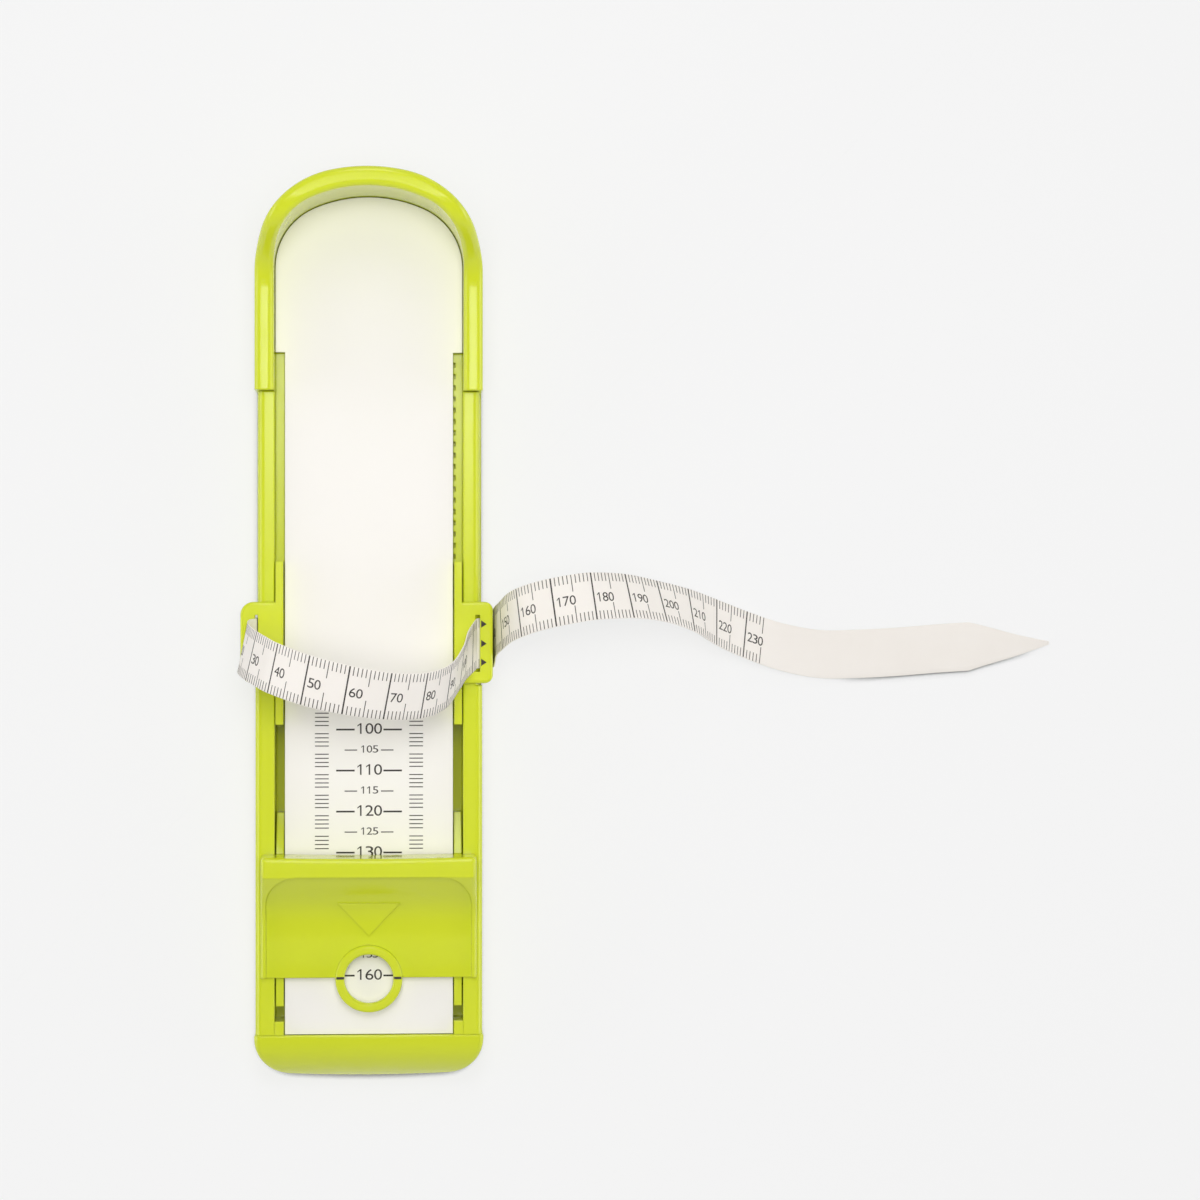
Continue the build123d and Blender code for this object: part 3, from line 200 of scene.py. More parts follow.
paper_sight = add(paper.node_tree, "ShaderNodeLightPath")
paper_share = add(paper.node_tree, "ShaderNodeMath", {
    0: paper_sight.outputs["Is Camera Ray"], 1: GLOW_SHARE}, operation="MULTIPLY")
paper_mix = add(paper.node_tree, "ShaderNodeMixShader", {
    0: paper_share.outputs[0], 1: paper_face.outputs[0], 2: paper_glow.outputs[0]})
add(paper.node_tree, "ShaderNodeOutputMaterial", {"Surface": paper_mix.outputs[0]})
floor_mesh.materials.append(paper)

camera = bpy.data.objects.new("camera", bpy.data.cameras.new("camera"))
camera.data.sensor_width = 36
camera.data.lens = 106.35
camera.location = (0.00737, 0.00809, 0.88128)
camera.rotation_euler = (-0.00133, -0.05655, 0.00016)
scene.collection.objects.link(camera)
scene.camera = camera

# ---------------------------------------------------------------- tray
# The long tray with its two side rails and the channels that the sliding parts run in.
# Injection-moulded ABS in one lime green shot, glossy, with the soft edges of its mould.

ABS_IOR = 1.53
FLOW_MARKS = 35 * MM
HAND_MARKS = 5 * MM
FINE_GRAIN = 0.9 * MM
EDGE_SOFTNESS = 0.45 * MM
MERGE_REACH = 0.002 * MM
FLAT_ENOUGH = math.radians(0.5)
CORNER = math.radians(35)


def new_material(name):
    made = bpy.data.materials.new(name)
    made.use_nodes = True
    made.node_tree.nodes.clear()
    return made, made.node_tree


def moulded_abs(name, pale, deep):
    """Moulded ABS: glossy, faint flow marks in its colour, a fine orange peel and soft edges."""
    made, tree = new_material(name)
    place = add(tree, "ShaderNodeTexCoord").outputs["Object"]
    flow = add(tree, "ShaderNodeTexNoise", {
        "Vector": place, "Scale": 1 / FLOW_MARKS, "Detail": 3.0, "Roughness": 0.5})
    colour = add(tree, "ShaderNodeMixRGB", {
        "Fac": flow.outputs["Fac"], "Color1": linear(deep), "Color2": linear(pale)})
    marks = add(tree, "ShaderNodeTexNoise", {
        "Vector": place, "Scale": 1 / HAND_MARKS, "Detail": 4.0, "Roughness": 0.6})
    gloss = add(tree, "ShaderNodeMapRange", {
        "Value": marks.outputs["Fac"], "From Min": 0.35, "From Max": 0.75,
        "To Min": 0.10, "To Max": 0.16})
    grain = add(tree, "ShaderNodeTexNoise", {
        "Vector": place, "Scale": 1 / FINE_GRAIN, "Detail": 2.0})
    soft_edges = add(tree, "ShaderNodeBevel", {"Radius": EDGE_SOFTNESS}, samples=4)
    peel = add(tree, "ShaderNodeBump", {
        "Height": grain.outputs["Fac"], "Strength": 0.15, "Distance": 0.02 * MM,
        "Normal": soft_edges.outputs[0]})
    shader = add(tree, "ShaderNodeBsdfPrincipled", {
        "Base Color": colour.outputs[0], "Roughness": gloss.outputs[0],
        "Normal": peel.outputs[0], "IOR": ABS_IOR})
    add(tree, "ShaderNodeOutputMaterial", {"Surface": shader.outputs[0]})
    return made


lime_abs = moulded_abs("lime green ABS, moulded", "D3DC2C", "CBD626")


def show(name, mesh, material):
    """Puts a finished mesh in the scene, at the origin, with its material."""
    piece = bpy.data.objects.new(name, mesh)
    mesh.materials.clear()
    mesh.materials.append(material)
    scene.collection.objects.link(piece)
    return piece


def eased_copy(node, name, material, edge=0):
    """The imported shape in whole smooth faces, its corners bevelled by edge in millimetres."""
    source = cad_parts[node].data
    mesh = bpy.data.meshes.new(name)
    mesh.from_pydata([v.co[:] for v in source.vertices], [],
                     [tuple(p.vertices) for p in source.polygons])
    shape = bmesh.new()
    shape.from_mesh(mesh)
    bmesh.ops.remove_doubles(shape, verts=shape.verts, dist=MERGE_REACH)
    bmesh.ops.dissolve_limit(shape, angle_limit=FLAT_ENOUGH, verts=shape.verts, edges=shape.edges)
    for face in shape.faces:
        face.smooth = True
    shape.to_mesh(mesh)
    shape.free()
    mesh.set_sharp_from_angle(angle=CORNER)
    piece = show(name, mesh, material)
    if edge:
        ease = piece.modifiers.new("eased edges", "BEVEL")
        ease.width = edge * MM
        ease.segments = 2
        ease.limit_method = "ANGLE"
        ease.angle_limit = CORNER
    flats = piece.modifiers.new("true flats", "WEIGHTED_NORMAL")
    flats.keep_sharp = True
    return piece


def stand_for(piece, node, body):
    """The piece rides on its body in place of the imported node."""
    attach(piece, body)
    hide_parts(node)


tray = eased_copy("base_tray", "tray", lime_abs)
stand_for(tray, "base_tray", "base")

# ---------------------------------------------------------------- heel cup
# The raised U-shaped stop for the heel, moulded in the same lime ABS as the tray.
# It sits on the tray's walls and is screwed from below.

cup = eased_copy("heel_cup", "heel_stop", lime_abs)
stand_for(cup, "heel_cup", "base")

# ---------------------------------------------------------------- toe end cap
# The sloping nose that closes the tray's open end after the sliding parts are in.
# Lime ABS, pushed on and held by two screws from below.

nose = eased_copy("toe_end_cap", "end_cap", lime_abs)
stand_for(nose, "toe_end_cap", "base")

# ---------------------------------------------------------------- screws of the base
# Small pan-head screws for plastics, cold-formed from steel wire and zinc-plated.
# All of them are driven from below.

STREAK_STRETCH = 12
SMOOTHER, ROUGHER = 0.08, 0.12


def plated_steel(name, colour, roughness, streak):
    """Bare or plated metal: a soft sheen with fine rolled or drawn streaks."""
    made, tree = new_material(name)
    place = add(tree, "ShaderNodeTexCoord").outputs["Object"]
    stretched = add(tree, "ShaderNodeMapping", {
        "Vector": place, "Scale": (1 / streak, 1 / (STREAK_STRETCH * streak), 1 / streak)})
    streaks = add(tree, "ShaderNodeTexNoise", {
        "Vector": stretched.outputs[0], "Scale": 1.0, "Detail": 3.0})
    sheen = add(tree, "ShaderNodeMapRange", {
        "Value": streaks.outputs["Fac"], "To Min": roughness - SMOOTHER,
        "To Max": roughness + ROUGHER})
    shader = add(tree, "ShaderNodeBsdfPrincipled", {
        "Base Color": linear(colour), "Metallic": 1.0, "Roughness": sheen.outputs[0]})
    add(tree, "ShaderNodeOutputMaterial", {"Surface": shader.outputs[0]})
    return made


zinc = plated_steel("zinc-plated steel", "A9ABAE", 0.34, 0.3 * MM)
for node, name in (("heel_cup_screws", "cup_screws"), ("end_cap_screws", "cap_screws"),
                   ("plate_screws", "tray_screws")):
    stand_for(eased_copy(node, name, zinc, edge=0.06), node, "base")

# ---------------------------------------------------------------- measuring plate
# A white ABS sheet that lies flush between the channels and carries the length scale.
# Its numbers and ticks are screen-printed in black.

HEEL_STOP_Y = 105.3
INK_GRAIN = 0.5 * MM
ROLLER_CLOUD = 25 * MM
ROLLER_GRAIN = 0.35 * MM


def y_at(distance):
    """Y of a place this many millimetres from the heel stop towards the toe."""
    return (HEEL_STOP_Y - distance) * MM


def printing_ink(name, colour):
    """Screen-printed ink: a thin matt film, a little uneven in its density."""
    made, tree = new_material(name)
    place = add(tree, "ShaderNodeTexCoord").outputs["Object"]
    cover = add(tree, "ShaderNodeTexNoise", {
        "Vector": place, "Scale": 1 / INK_GRAIN, "Detail": 2.0})
    tone = add(tree, "ShaderNodeMixRGB", {
        "Fac": cover.outputs["Fac"], "Color1": linear(colour), "Color2": linear("4A4541")})
    shader = add(tree, "ShaderNodeBsdfPrincipled", {
        "Base Color": tone.outputs[0], "Roughness": 0.55, "IOR": 1.5})
    add(tree, "ShaderNodeOutputMaterial", {"Surface": shader.outputs[0]})
    return made


def satin_sheet(name, pale, deep):
    """Calendered ABS sheet: smooth and satin, with a very fine matt texture from the rollers."""
    made, tree = new_material(name)
    place = add(tree, "ShaderNodeTexCoord").outputs["Object"]
    cloud = add(tree, "ShaderNodeTexNoise", {
        "Vector": place, "Scale": 1 / ROLLER_CLOUD, "Detail": 3.0})
    colour = add(tree, "ShaderNodeMixRGB", {
        "Fac": cloud.outputs["Fac"], "Color1": linear(deep), "Color2": linear(pale)})
    grain = add(tree, "ShaderNodeTexNoise", {
        "Vector": place, "Scale": 1 / ROLLER_GRAIN, "Detail": 2.0})
    matt = add(tree, "ShaderNodeMapRange", {
        "Value": grain.outputs["Fac"], "To Min": 0.34, "To Max": 0.50})
    dimples = add(tree, "ShaderNodeBump", {
        "Height": grain.outputs["Fac"], "Strength": 0.2, "Distance": 0.01 * MM})
    shader = add(tree, "ShaderNodeBsdfPrincipled", {
        "Base Color": colour.outputs[0], "Roughness": matt.outputs[0],
        "Normal": dimples.outputs[0], "IOR": ABS_IOR})
    add(tree, "ShaderNodeOutputMaterial", {"Surface": shader.outputs[0]})
    return made


plate_white = satin_sheet("white ABS sheet, satin", "F6F3EF", "F4F1EC")
black_ink = printing_ink("black screen ink", "2C2826")
plate = eased_copy("foot_plate", "measuring_plate", plate_white, edge=0.12)
stand_for(plate, "foot_plate", "base")

INK = 0.02  # millimetres that the print stands proud
SUNK = 0.02  # millimetres that its film reaches into the surface

tick_tree = bpy.data.node_groups.new("row of ticks", "GeometryNodeTree")
for label, kind in (("Count", "Int"), ("First Number", "Int"), ("Leave Out Every", "Int"),
                    ("Spacing", "Float"), ("Length", "Float"), ("Line Width", "Float"),
                    ("Film", "Float"), ("Edge", "Float"), ("Both Sides", "Bool"),
                    ("Ink", "Material")):
    tick_tree.interface.new_socket(label, in_out="INPUT", socket_type="NodeSocket" + kind)
tick_tree.interface.new_socket("Ticks", in_out="OUTPUT", socket_type="NodeSocketGeometry")
given = add(tick_tree, "NodeGroupInput").outputs
stride = add(tick_tree, "ShaderNodeCombineXYZ", {"X": given["Spacing"]})
row = add(tick_tree, "GeometryNodeMeshLine", {
    "Count": given["Count"], "Offset": stride.outputs[0]})
bar_size = add(tick_tree, "ShaderNodeCombineXYZ", {
    "X": given["Line Width"], "Y": given["Length"], "Z": given["Film"]})
bar = add(tick_tree, "GeometryNodeMeshCube", {"Size": bar_size.outputs[0]})
inwards = add(tick_tree, "ShaderNodeMath", {0: given["Length"], 1: -0.5}, operation="MULTIPLY")
from_edge = add(tick_tree, "ShaderNodeMath", {0: given["Edge"], 1: inwards.outputs[0]},
                operation="ADD")
reach = add(tick_tree, "ShaderNodeCombineXYZ", {"Y": from_edge.outputs[0]})
tick = add(tick_tree, "GeometryNodeTransform", {
    "Geometry": bar.outputs["Mesh"], "Translation": reach.outputs[0]})
place_in_row = add(tick_tree, "GeometryNodeInputIndex")
number = add(tick_tree, "ShaderNodeMath", {
    0: place_in_row.outputs[0], 1: given["First Number"]}, operation="ADD")
left_over = add(tick_tree, "ShaderNodeMath", {
    0: number.outputs[0], 1: given["Leave Out Every"]}, operation="FLOORED_MODULO")
wanted = add(tick_tree, "FunctionNodeCompare", {
    "A": left_over.outputs[0], "B": 0.5}, data_type="FLOAT", operation="GREATER_THAN")
all_wanted = add(tick_tree, "FunctionNodeCompare", {
    "A": given["Leave Out Every"], "B": 0.5}, data_type="FLOAT", operation="LESS_THAN")
kept = add(tick_tree, "FunctionNodeBooleanMath", {
    0: wanted.outputs[0], 1: all_wanted.outputs[0]}, operation="OR")
near_side = add(tick_tree, "GeometryNodeInstanceOnPoints", {
    "Points": row.outputs["Mesh"], "Selection": kept.outputs[0], "Instance": tick.outputs[0]})
also = add(tick_tree, "FunctionNodeBooleanMath", {
    0: kept.outputs[0], 1: given["Both Sides"]}, operation="AND")
far_side = add(tick_tree, "GeometryNodeInstanceOnPoints", {
    "Points": row.outputs["Mesh"], "Selection": also.outputs[0], "Instance": tick.outputs[0],
    "Rotation": (0, 0, math.pi)})
sides = add(tick_tree, "GeometryNodeJoinGeometry")
tick_tree.links.new(near_side.outputs[0], sides.inputs[0])
tick_tree.links.new(far_side.outputs[0], sides.inputs[0])
solid = add(tick_tree, "GeometryNodeRealizeInstances", {0: sides.outputs[0]})
inked = add(tick_tree, "GeometryNodeSetMaterial", {
    "Geometry": solid.outputs[0], "Material": given["Ink"]})
add(tick_tree, "NodeGroupOutput", {"Ticks": inked.outputs[0]})


def tick_row(first, count, spacing, length, width, edge, both=True, number=0, leave_out=0):
    """A flat row of ticks along X from first, with their outer ends at edge, as a plain mesh."""
    holder = bpy.data.objects.new("ticks", bpy.data.meshes.new("ticks"))
    scene.collection.objects.link(holder)
    maker = holder.modifiers.new("ticks", "NODES")
    maker.node_group = tick_tree
    values = {"Count": count, "First Number": number, "Leave Out Every": leave_out,
              "Spacing": spacing * MM, "Length": length * MM, "Line Width": width * MM,
              "Film": (INK + SUNK) * MM, "Edge": edge * MM, "Both Sides": both, "Ink": black_ink}
    for item in tick_tree.interface.items_tree:
        if item.name in values:
            maker[item.identifier] = values[item.name]
    mesh = bpy.data.meshes.new_from_object(
        holder.evaluated_get(bpy.context.evaluated_depsgraph_get()))
    holder.modifiers.clear()
    bpy.data.objects.remove(holder)
    mesh.transform(Matrix.Translation((first * MM, 0, 0)))
    return mesh


def prism(outline, low, high):
    """A flat solid from its outline's (x, y) corners in millimetres, taken anticlockwise."""
    shape = bmesh.new()
    bottom = [shape.verts.new((x * MM, y * MM, low * MM)) for x, y in outline]
    top = [shape.verts.new((x * MM, y * MM, high * MM)) for x, y in outline]
    shape.faces.new(top)
    shape.faces.new(bottom[::-1])
    count = len(outline)
    for first in range(count):
        second = (first + 1) % count
        shape.faces.new((bottom[first], bottom[second], top[second], top[first]))
    mesh = bpy.data.meshes.new("prism")
    shape.to_mesh(mesh)
    shape.free()
    return mesh


DIGIT_START, DIGIT_SHARE = 0.02, 0.93  # of the pitch from digit to digit
ONE_START, ONE_SHARE = 0.095, 0.475
ONE_OUTLINE = [(0.63, 0), (1, 0), (1, 1), (0.68, 1), (0, 0.80), (0, 0.68), (0.63, 0.86)]
digit_shapes = {"1": prism(ONE_OUTLINE, -0.5, 0.5)}


def digit_shape(digit):
    """A digit as a flat solid. The 1 has a flag, and the others come from the plain font."""
    if digit not in digit_shapes:
        curve = bpy.data.curves.new("digit", "FONT")
        curve.body = digit
        curve.extrude = 0.5
        curve.resolution_u = 4
        holder = bpy.data.objects.new("digit", curve)
        scene.collection.objects.link(holder)
        digit_shapes[digit] = bpy.data.meshes.new_from_object(
            holder.evaluated_get(bpy.context.evaluated_depsgraph_get()))
        bpy.data.objects.remove(holder)
        bpy.data.curves.remove(curve)
    return digit_shapes[digit]


def cut_across(work, x, width, slices):
    """Cuts a flat shape into slices along X, so that it can follow a curved surface."""
    for cut in range(1, slices):
        bmesh.ops.bisect_plane(
            work, geom=list(work.verts) + list(work.edges) + list(work.faces),
            plane_co=((x + width * cut / slices) * MM, 0, 0), plane_no=(1, 0, 0))


def flat_number(text, height, width, x, y, slices=0):
    """A printed number as a thin flat solid, its left edge at x and its middle height at y."""
    work = bmesh.new()
    pitch = width / len(text)
    for place, digit in enumerate(text):
        start, share = (ONE_START, ONE_SHARE) if digit == "1" else (DIGIT_START, DIGIT_SHARE)
        first = len(work.verts)
        work.from_mesh(digit_shape(digit))
        work.verts.ensure_lookup_table()
        corners = work.verts[first:]
        low = [min(corner.co[axis] for corner in corners) for axis in (0, 1, 2)]
        high = [max(corner.co[axis] for corner in corners) for axis in (0, 1, 2)]
        for corner in corners:
            along, up, deep = [(corner.co[axis] - low[axis]) / (high[axis] - low[axis])
                               for axis in (0, 1, 2)]
            corner.co = ((x + pitch * (place + start + share * along)) * MM,
                         (y + height * (up - 0.5)) * MM, (INK + SUNK) * (deep - 0.5) * MM)
    bmesh.ops.remove_doubles(work, verts=work.verts, dist=0.001 * MM)
    cut_across(work, x, width, slices)
    bmesh.ops.recalc_face_normals(work, faces=work.faces)
    mesh = bpy.data.meshes.new("number")
    work.to_mesh(mesh)
    work.free()
    return mesh


def printed(name, meshes, place):
    """Joins flat prints into one piece and lays each of their points where place says."""
    whole = bmesh.new()
    for mesh in meshes:
        whole.from_mesh(mesh)
        bpy.data.meshes.remove(mesh)
    for vertex in whole.verts:
        vertex.co = place(vertex.co.x, vertex.co.y, vertex.co.z)
    joined = bpy.data.meshes.new(name)
    whole.to_mesh(joined)
    whole.free()
    return show(name, joined, black_ink)


PLATE_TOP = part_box("foot_plate")[1].z
SCALE_OFFSET = 29.95  # the mark for a length lies this much further from the heel stop
FIRST_LENGTH = 90
LAST_LENGTH = 160
# a tick's length, the width of its line and how far out it ends
COLUMN_TICK = (3.35, 0.24, 13.15)
TENS_TICK = (4.5, 0.42, 8.0)
FIVES_TICK = (3.05, 0.26, 5.95)
# a number's height and its pitch from digit to digit
TENS_NUMBER = (2.6, 2.1)
FIVES_NUMBER = (1.78, 1.46)
NUMBER_MIDDLE = 0.13
NUMBER_LIFT = 0.25  # of the numbers' middle towards the heel from their tick
FILM_LIFT = (INK - SUNK) / 2 * MM


def on_plate_scale(x, y, z):
    """X runs towards the toe and Y across, from the heel stop's zero."""
    return Vector((y, y_at(x / MM), PLATE_TOP + FILM_LIFT + z))


def at_length(length):
    return length + SCALE_OFFSET


tens = (LAST_LENGTH - FIRST_LENGTH) // 10
marks = [tick_row(at_length(FIRST_LENGTH), 10 * tens, 1, *COLUMN_TICK, leave_out=5),
         tick_row(at_length(FIRST_LENGTH), tens + 1, 10, *TENS_TICK),
         tick_row(at_length(FIRST_LENGTH + 5), tens, 10, *FIVES_TICK)]
plate_ticks = printed("plate_ticks", marks, on_plate_scale)
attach(plate_ticks, "base")

numbers = []
for length in range(FIRST_LENGTH, LAST_LENGTH + 1, 5):
    tall, pitch = FIVES_NUMBER if length % 10 else TENS_NUMBER
    wide = pitch * len(str(length))
    numbers.append(flat_number(str(length), tall, wide, NUMBER_MIDDLE - wide / 2,
                               HEEL_STOP_Y - at_length(length) + NUMBER_LIFT))
plate_numbers = printed("plate_numbers", numbers,
                        lambda x, y, z: Vector((x, y, PLATE_TOP + FILM_LIFT + z)))
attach(plate_numbers, "base")

# ---------------------------------------------------------------- girth carriage
# Two lime ABS side pieces whose guides run in the channels, joined under the plate by a bridge.
# The tape's slots are in their tabs, and three small arrows are printed beside the right one.

for node, name in (("carriage_left", "left_slide"), ("carriage_right", "right_slide"),
                   ("carriage_bridge", "slide_bridge")):
    stand_for(eased_copy(node, name, lime_abs), node, "carriage")
stand_for(eased_copy("carriage_screws", "slide_screws", zinc, edge=0.06),
          "carriage_screws", "carriage")

ARROW_X = 27.9
ARROW_LONG = 1.35
ARROW_TALL = 1.8
ARROW_PLACES = (104.2, 108.95, 113.5)

TAB_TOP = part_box("carriage_right")[1].z
arrows = []
for distance in ARROW_PLACES:
    middle = y_at(distance) / MM
    arrows.append(prism([(ARROW_X - ARROW_LONG / 2, middle - ARROW_TALL / 2),
                         (ARROW_X + ARROW_LONG / 2, middle),
                         (ARROW_X - ARROW_LONG / 2, middle + ARROW_TALL / 2)], -SUNK, INK))
reading_arrows = printed("reading_arrows", arrows, lambda x, y, z: Vector((x, y, TAB_TOP + z)))
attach(reading_arrows, "carriage")

# ---------------------------------------------------------------- click spring and tape clamp
# A bent leaf that clicks in the row of notches, and the strip and rivets that hold the tape's
# fixed end inside the left lip. Rolled spring steel and turned aluminium.

spring_steel = plated_steel("rolled spring steel", "8E9196", 0.30, 0.15 * MM)
aluminium = plated_steel("turned aluminium", "CDCED1", 0.28, 0.2 * MM)
stand_for(eased_copy("click_spring", "click_leaf", spring_steel, edge=0.04),
          "click_spring", "carriage")
stand_for(eased_copy("tape_clamp", "clamp_strip", spring_steel, edge=0.06),
          "tape_clamp", "carriage")
stand_for(eased_copy("tape_clamp_rivets", "clamp_rivets", aluminium, edge=0.06),
          "tape_clamp_rivets", "carriage")

# ---------------------------------------------------------------- tape
# One printed tape, 12 mm wide and 0.3 mm thick: glass-fibre weave coated on both sides with soft
# white vinyl, edges sealed. It is clamped at the left, goes over the instep and down through the
# right slot, turns under the lip and comes out with its pointed end.

TAPE_WIDTH = 12.15
TAPE_THICKNESS = 0.3
TAPER_LENGTH = 20.0
TIP_WIDTH = 0.9
SLOT_MIDDLE = 108.9
LEFT_SLOT_X = -27.2
RIGHT_SLOT_X = 26.15
TAIL_X = 30.65
TAIL_FOOT = 5.6
SLOT_TOP = 19.5
THREAD = 0.4 * MM  # pitch of the weave under the coating
CLOUDS_PER_MM = 0.12
ARC_STEP = 0.2
FACE_INSET = 0.10  # of the flat faces' outermost line from the edge
SEAL_INSET = 0.03  # of the rounded edge above and below its middle
SEAL_UP = 0.7  # of half the thickness

# x and height of the two hidden stretches' corners, and how tightly they bend there
END_ROUTE = [(LEFT_SLOT_X, SLOT_TOP), (LEFT_SLOT_X, 17.1), (-27.85, 13.5), (-27.85, 7.0)]
END_RADIUS = 1.5
TURN_ROUTE = [(RIGHT_SLOT_X, SLOT_TOP), (27.45, 16.7), (27.45, 3.45), (TAIL_X, 3.45),
              (TAIL_X, TAIL_FOOT)]
TURN_RADIUS = 1.59

# share across, towards the toe, above the tabs, lean along X, lean along Z
LOOP_ROUTE = [
    (0.000, 0.0, 0.0, 0.00, 0.00), (-0.041, 0.2, 4.4, 0.12, 0.08),
    (-0.052, 0.8, 9.3, 0.20, 0.13), (-0.039, 1.6, 14.1, 0.23, 0.15),
    (-0.008, 2.7, 18.6, 0.23, 0.16), (0.038, 4.0, 22.8, 0.22, 0.16),
    (0.092, 5.4, 26.7, 0.21, 0.16), (0.234, 8.0, 32.4, 0.19, 0.20),
    (0.410, 10.3, 34.3, 0.17, 0.29), (0.590, 11.8, 32.3, 0.17, 0.38),
    (0.752, 11.9, 27.2, 0.15, 0.40), (0.864, 9.9, 19.6, 0.12, 0.42),
    (0.925, 5.9, 11.1, 0.10, 0.43), (0.955, 2.8, 5.4, 0.04, 0.30),
    (1.000, 0.0, 0.0, 0.00, 0.00),
]
LOOP_STEPS = 16
# out from the turn, towards the toe, height, lean along X, lean along Z
TAIL_ROUTE = [
    (0.0, 0.0, TAIL_FOOT, 0.00, 0.00), (0.0, -1.1, 11.0, -0.02, -0.15),
    (0.1, -2.8, 16.9, -0.04, -0.27), (1.6, -4.6, 22.3, -0.05, -0.30),
    (3.3, -6.3, 26.8, -0.08, -0.29), (5.7, -7.6, 30.9, -0.11, -0.28),
    (9.3, -8.9, 34.1, -0.12, -0.28), (13.7, -10.0, 35.8, -0.12, -0.28),
    (18.5, -10.9, 36.0, -0.12, -0.30), (23.3, -11.5, 34.7, -0.12, -0.34),
    (32.1, -11.5, 30.1, -0.16, -0.46), (40.3, -10.2, 24.5, -0.18, -0.53),
    (48.0, -8.0, 18.4, -0.10, -0.49), (54.8, -5.0, 11.7, 0.04, -0.38),
    (62.3, -2.0, 6.1, 0.12, -0.33), (71.2, 1.0, 2.7, 0.12, -0.27),
    (81.1, 2.9, 1.5, 0.09, -0.17), (91.1, 2.9, 0.9, 0.05, -0.05),
    (101.1, 2.4, 0.6, 0.02, 0.02), (111.1, 1.6, 0.5, 0.00, 0.02),
    (121.1, 1.0, 0.7, 0.00, 0.05), (131.1, 0.8, 1.2, 0.00, 0.15),
    (139.0, 0.2, 1.8, 0.00, 0.35),
]
TAIL_STEPS = 14


def smooth_route(route, steps):
    """Points of a smooth curve through a route, with as many steps between its points."""
    padded = [route[0]] + route + [route[-1]]
    result = []
    for before, start, end, after in zip(padded, padded[1:], padded[2:], padded[3:]):
        for step in range(steps):
            t = step / steps
            weights = ((-t + 2 * t ** 2 - t ** 3) / 2, (2 - 5 * t ** 2 + 3 * t ** 3) / 2,
                       (t + 4 * t ** 2 - 3 * t ** 3) / 2, (t ** 3 - t ** 2) / 2)
            rows = zip(before, start, end, after)
            result.append(tuple(sum(w * v for w, v in zip(weights, row)) for row in rows))
    result.append(route[-1])
    return result


def rounded_path(corners, radius):
    """Points of a bent strip seen along its width: straight runs with an arc at each corner."""
    points = [Vector(corners[0])]
    for before, corner, after in zip(corners, corners[1:], corners[2:]):
        middle = Vector(corner)
        back = (Vector(before) - middle).normalized()
        on = (Vector(after) - middle).normalized()
        half = back.angle(on) / 2
        reach = radius / math.tan(half)
        centre = middle + (back + on).normalized() * radius / math.sin(half)
        start = middle + back * reach - centre
        turn = start.angle_signed(middle + on * reach - centre)
        steps = max(4, round(abs(turn) * radius / ARC_STEP))
        for step in range(steps + 1):
            points.append(centre + Matrix.Rotation(-turn * step / steps, 2) @ start)
    points.append(Vector(corners[-1]))
    return points


def stations(centres, widths_across):
    """Each place along the tape: how far along it is, its centre, its width line and its face."""
    result = []
    far = 0.0
    count = len(centres)
    for index, centre in enumerate(centres):
        if index:
            far += (centre - centres[index - 1]).length
        along = centres[min(index + 1, count - 1)] - centres[max(index - 1, 0)]
        across = widths_across[index]
        result.append((far, centre, across, along.cross(across).normalized()))
    return result


def leaning(lean_x, lean_z):
    return Vector((lean_x, math.sqrt(1 - lean_x ** 2 - lean_z ** 2), lean_z))


def upright(corners, radius):
    """Stations of a strip that stands square across the device, from its (x, z) path."""
    centres = [Vector((point.x, y_at(SLOT_MIDDLE) / MM, point.y))
               for point in rounded_path(corners, radius)]
    return stations(centres, [Vector((0, 1, 0))] * len(centres))


def tape_strip(name, places, widths, material):
    """The tape's body along its stations: flat faces, edges sealed round, ends closed."""
    half = TAPE_THICKNESS / 2
    flats = [quarter / 4 for quarter in range(-4, 5)]
    outline = [(share, FACE_INSET, half) for share in flats]
    outline += [(1, SEAL_INSET, SEAL_UP * half), (1, 0.0, 0.0), (1, SEAL_INSET, -SEAL_UP * half)]
    outline += [(-share, inset, -up) for share, inset, up in outline]
    shape = bmesh.new()
    weave_map = shape.loops.layers.uv.new("along and across")
    rings = []
    for (far, centre, across, face), width in zip(places, widths):
        ring = []
        for share, inset, up in outline:
            aside = share * (width / 2 - inset)
            vertex = shape.verts.new((centre + across * aside + face * up) * MM)
            ring.append((vertex, far, aside))
        rings.append(ring)
    size = len(outline)
    for ring, following in zip(rings, rings[1:]):
        for one in range(size):
            two = (one + 1) % size
            corners = (ring[one], following[one], following[two], ring[two])
            side = shape.faces.new([corner[0] for corner in corners])
            side.smooth = True
            for loop, corner in zip(side.loops, corners):
                loop[weave_map].uv = (corner[1], corner[2])
    shape.faces.new([corner[0] for corner in rings[0]])
    shape.faces.new([corner[0] for corner in rings[-1]][::-1])
    bmesh.ops.recalc_face_normals(shape, faces=shape.faces)
    mesh = bpy.data.meshes.new(name)
    shape.to_mesh(mesh)
    shape.free()
    return show(name, mesh, material)


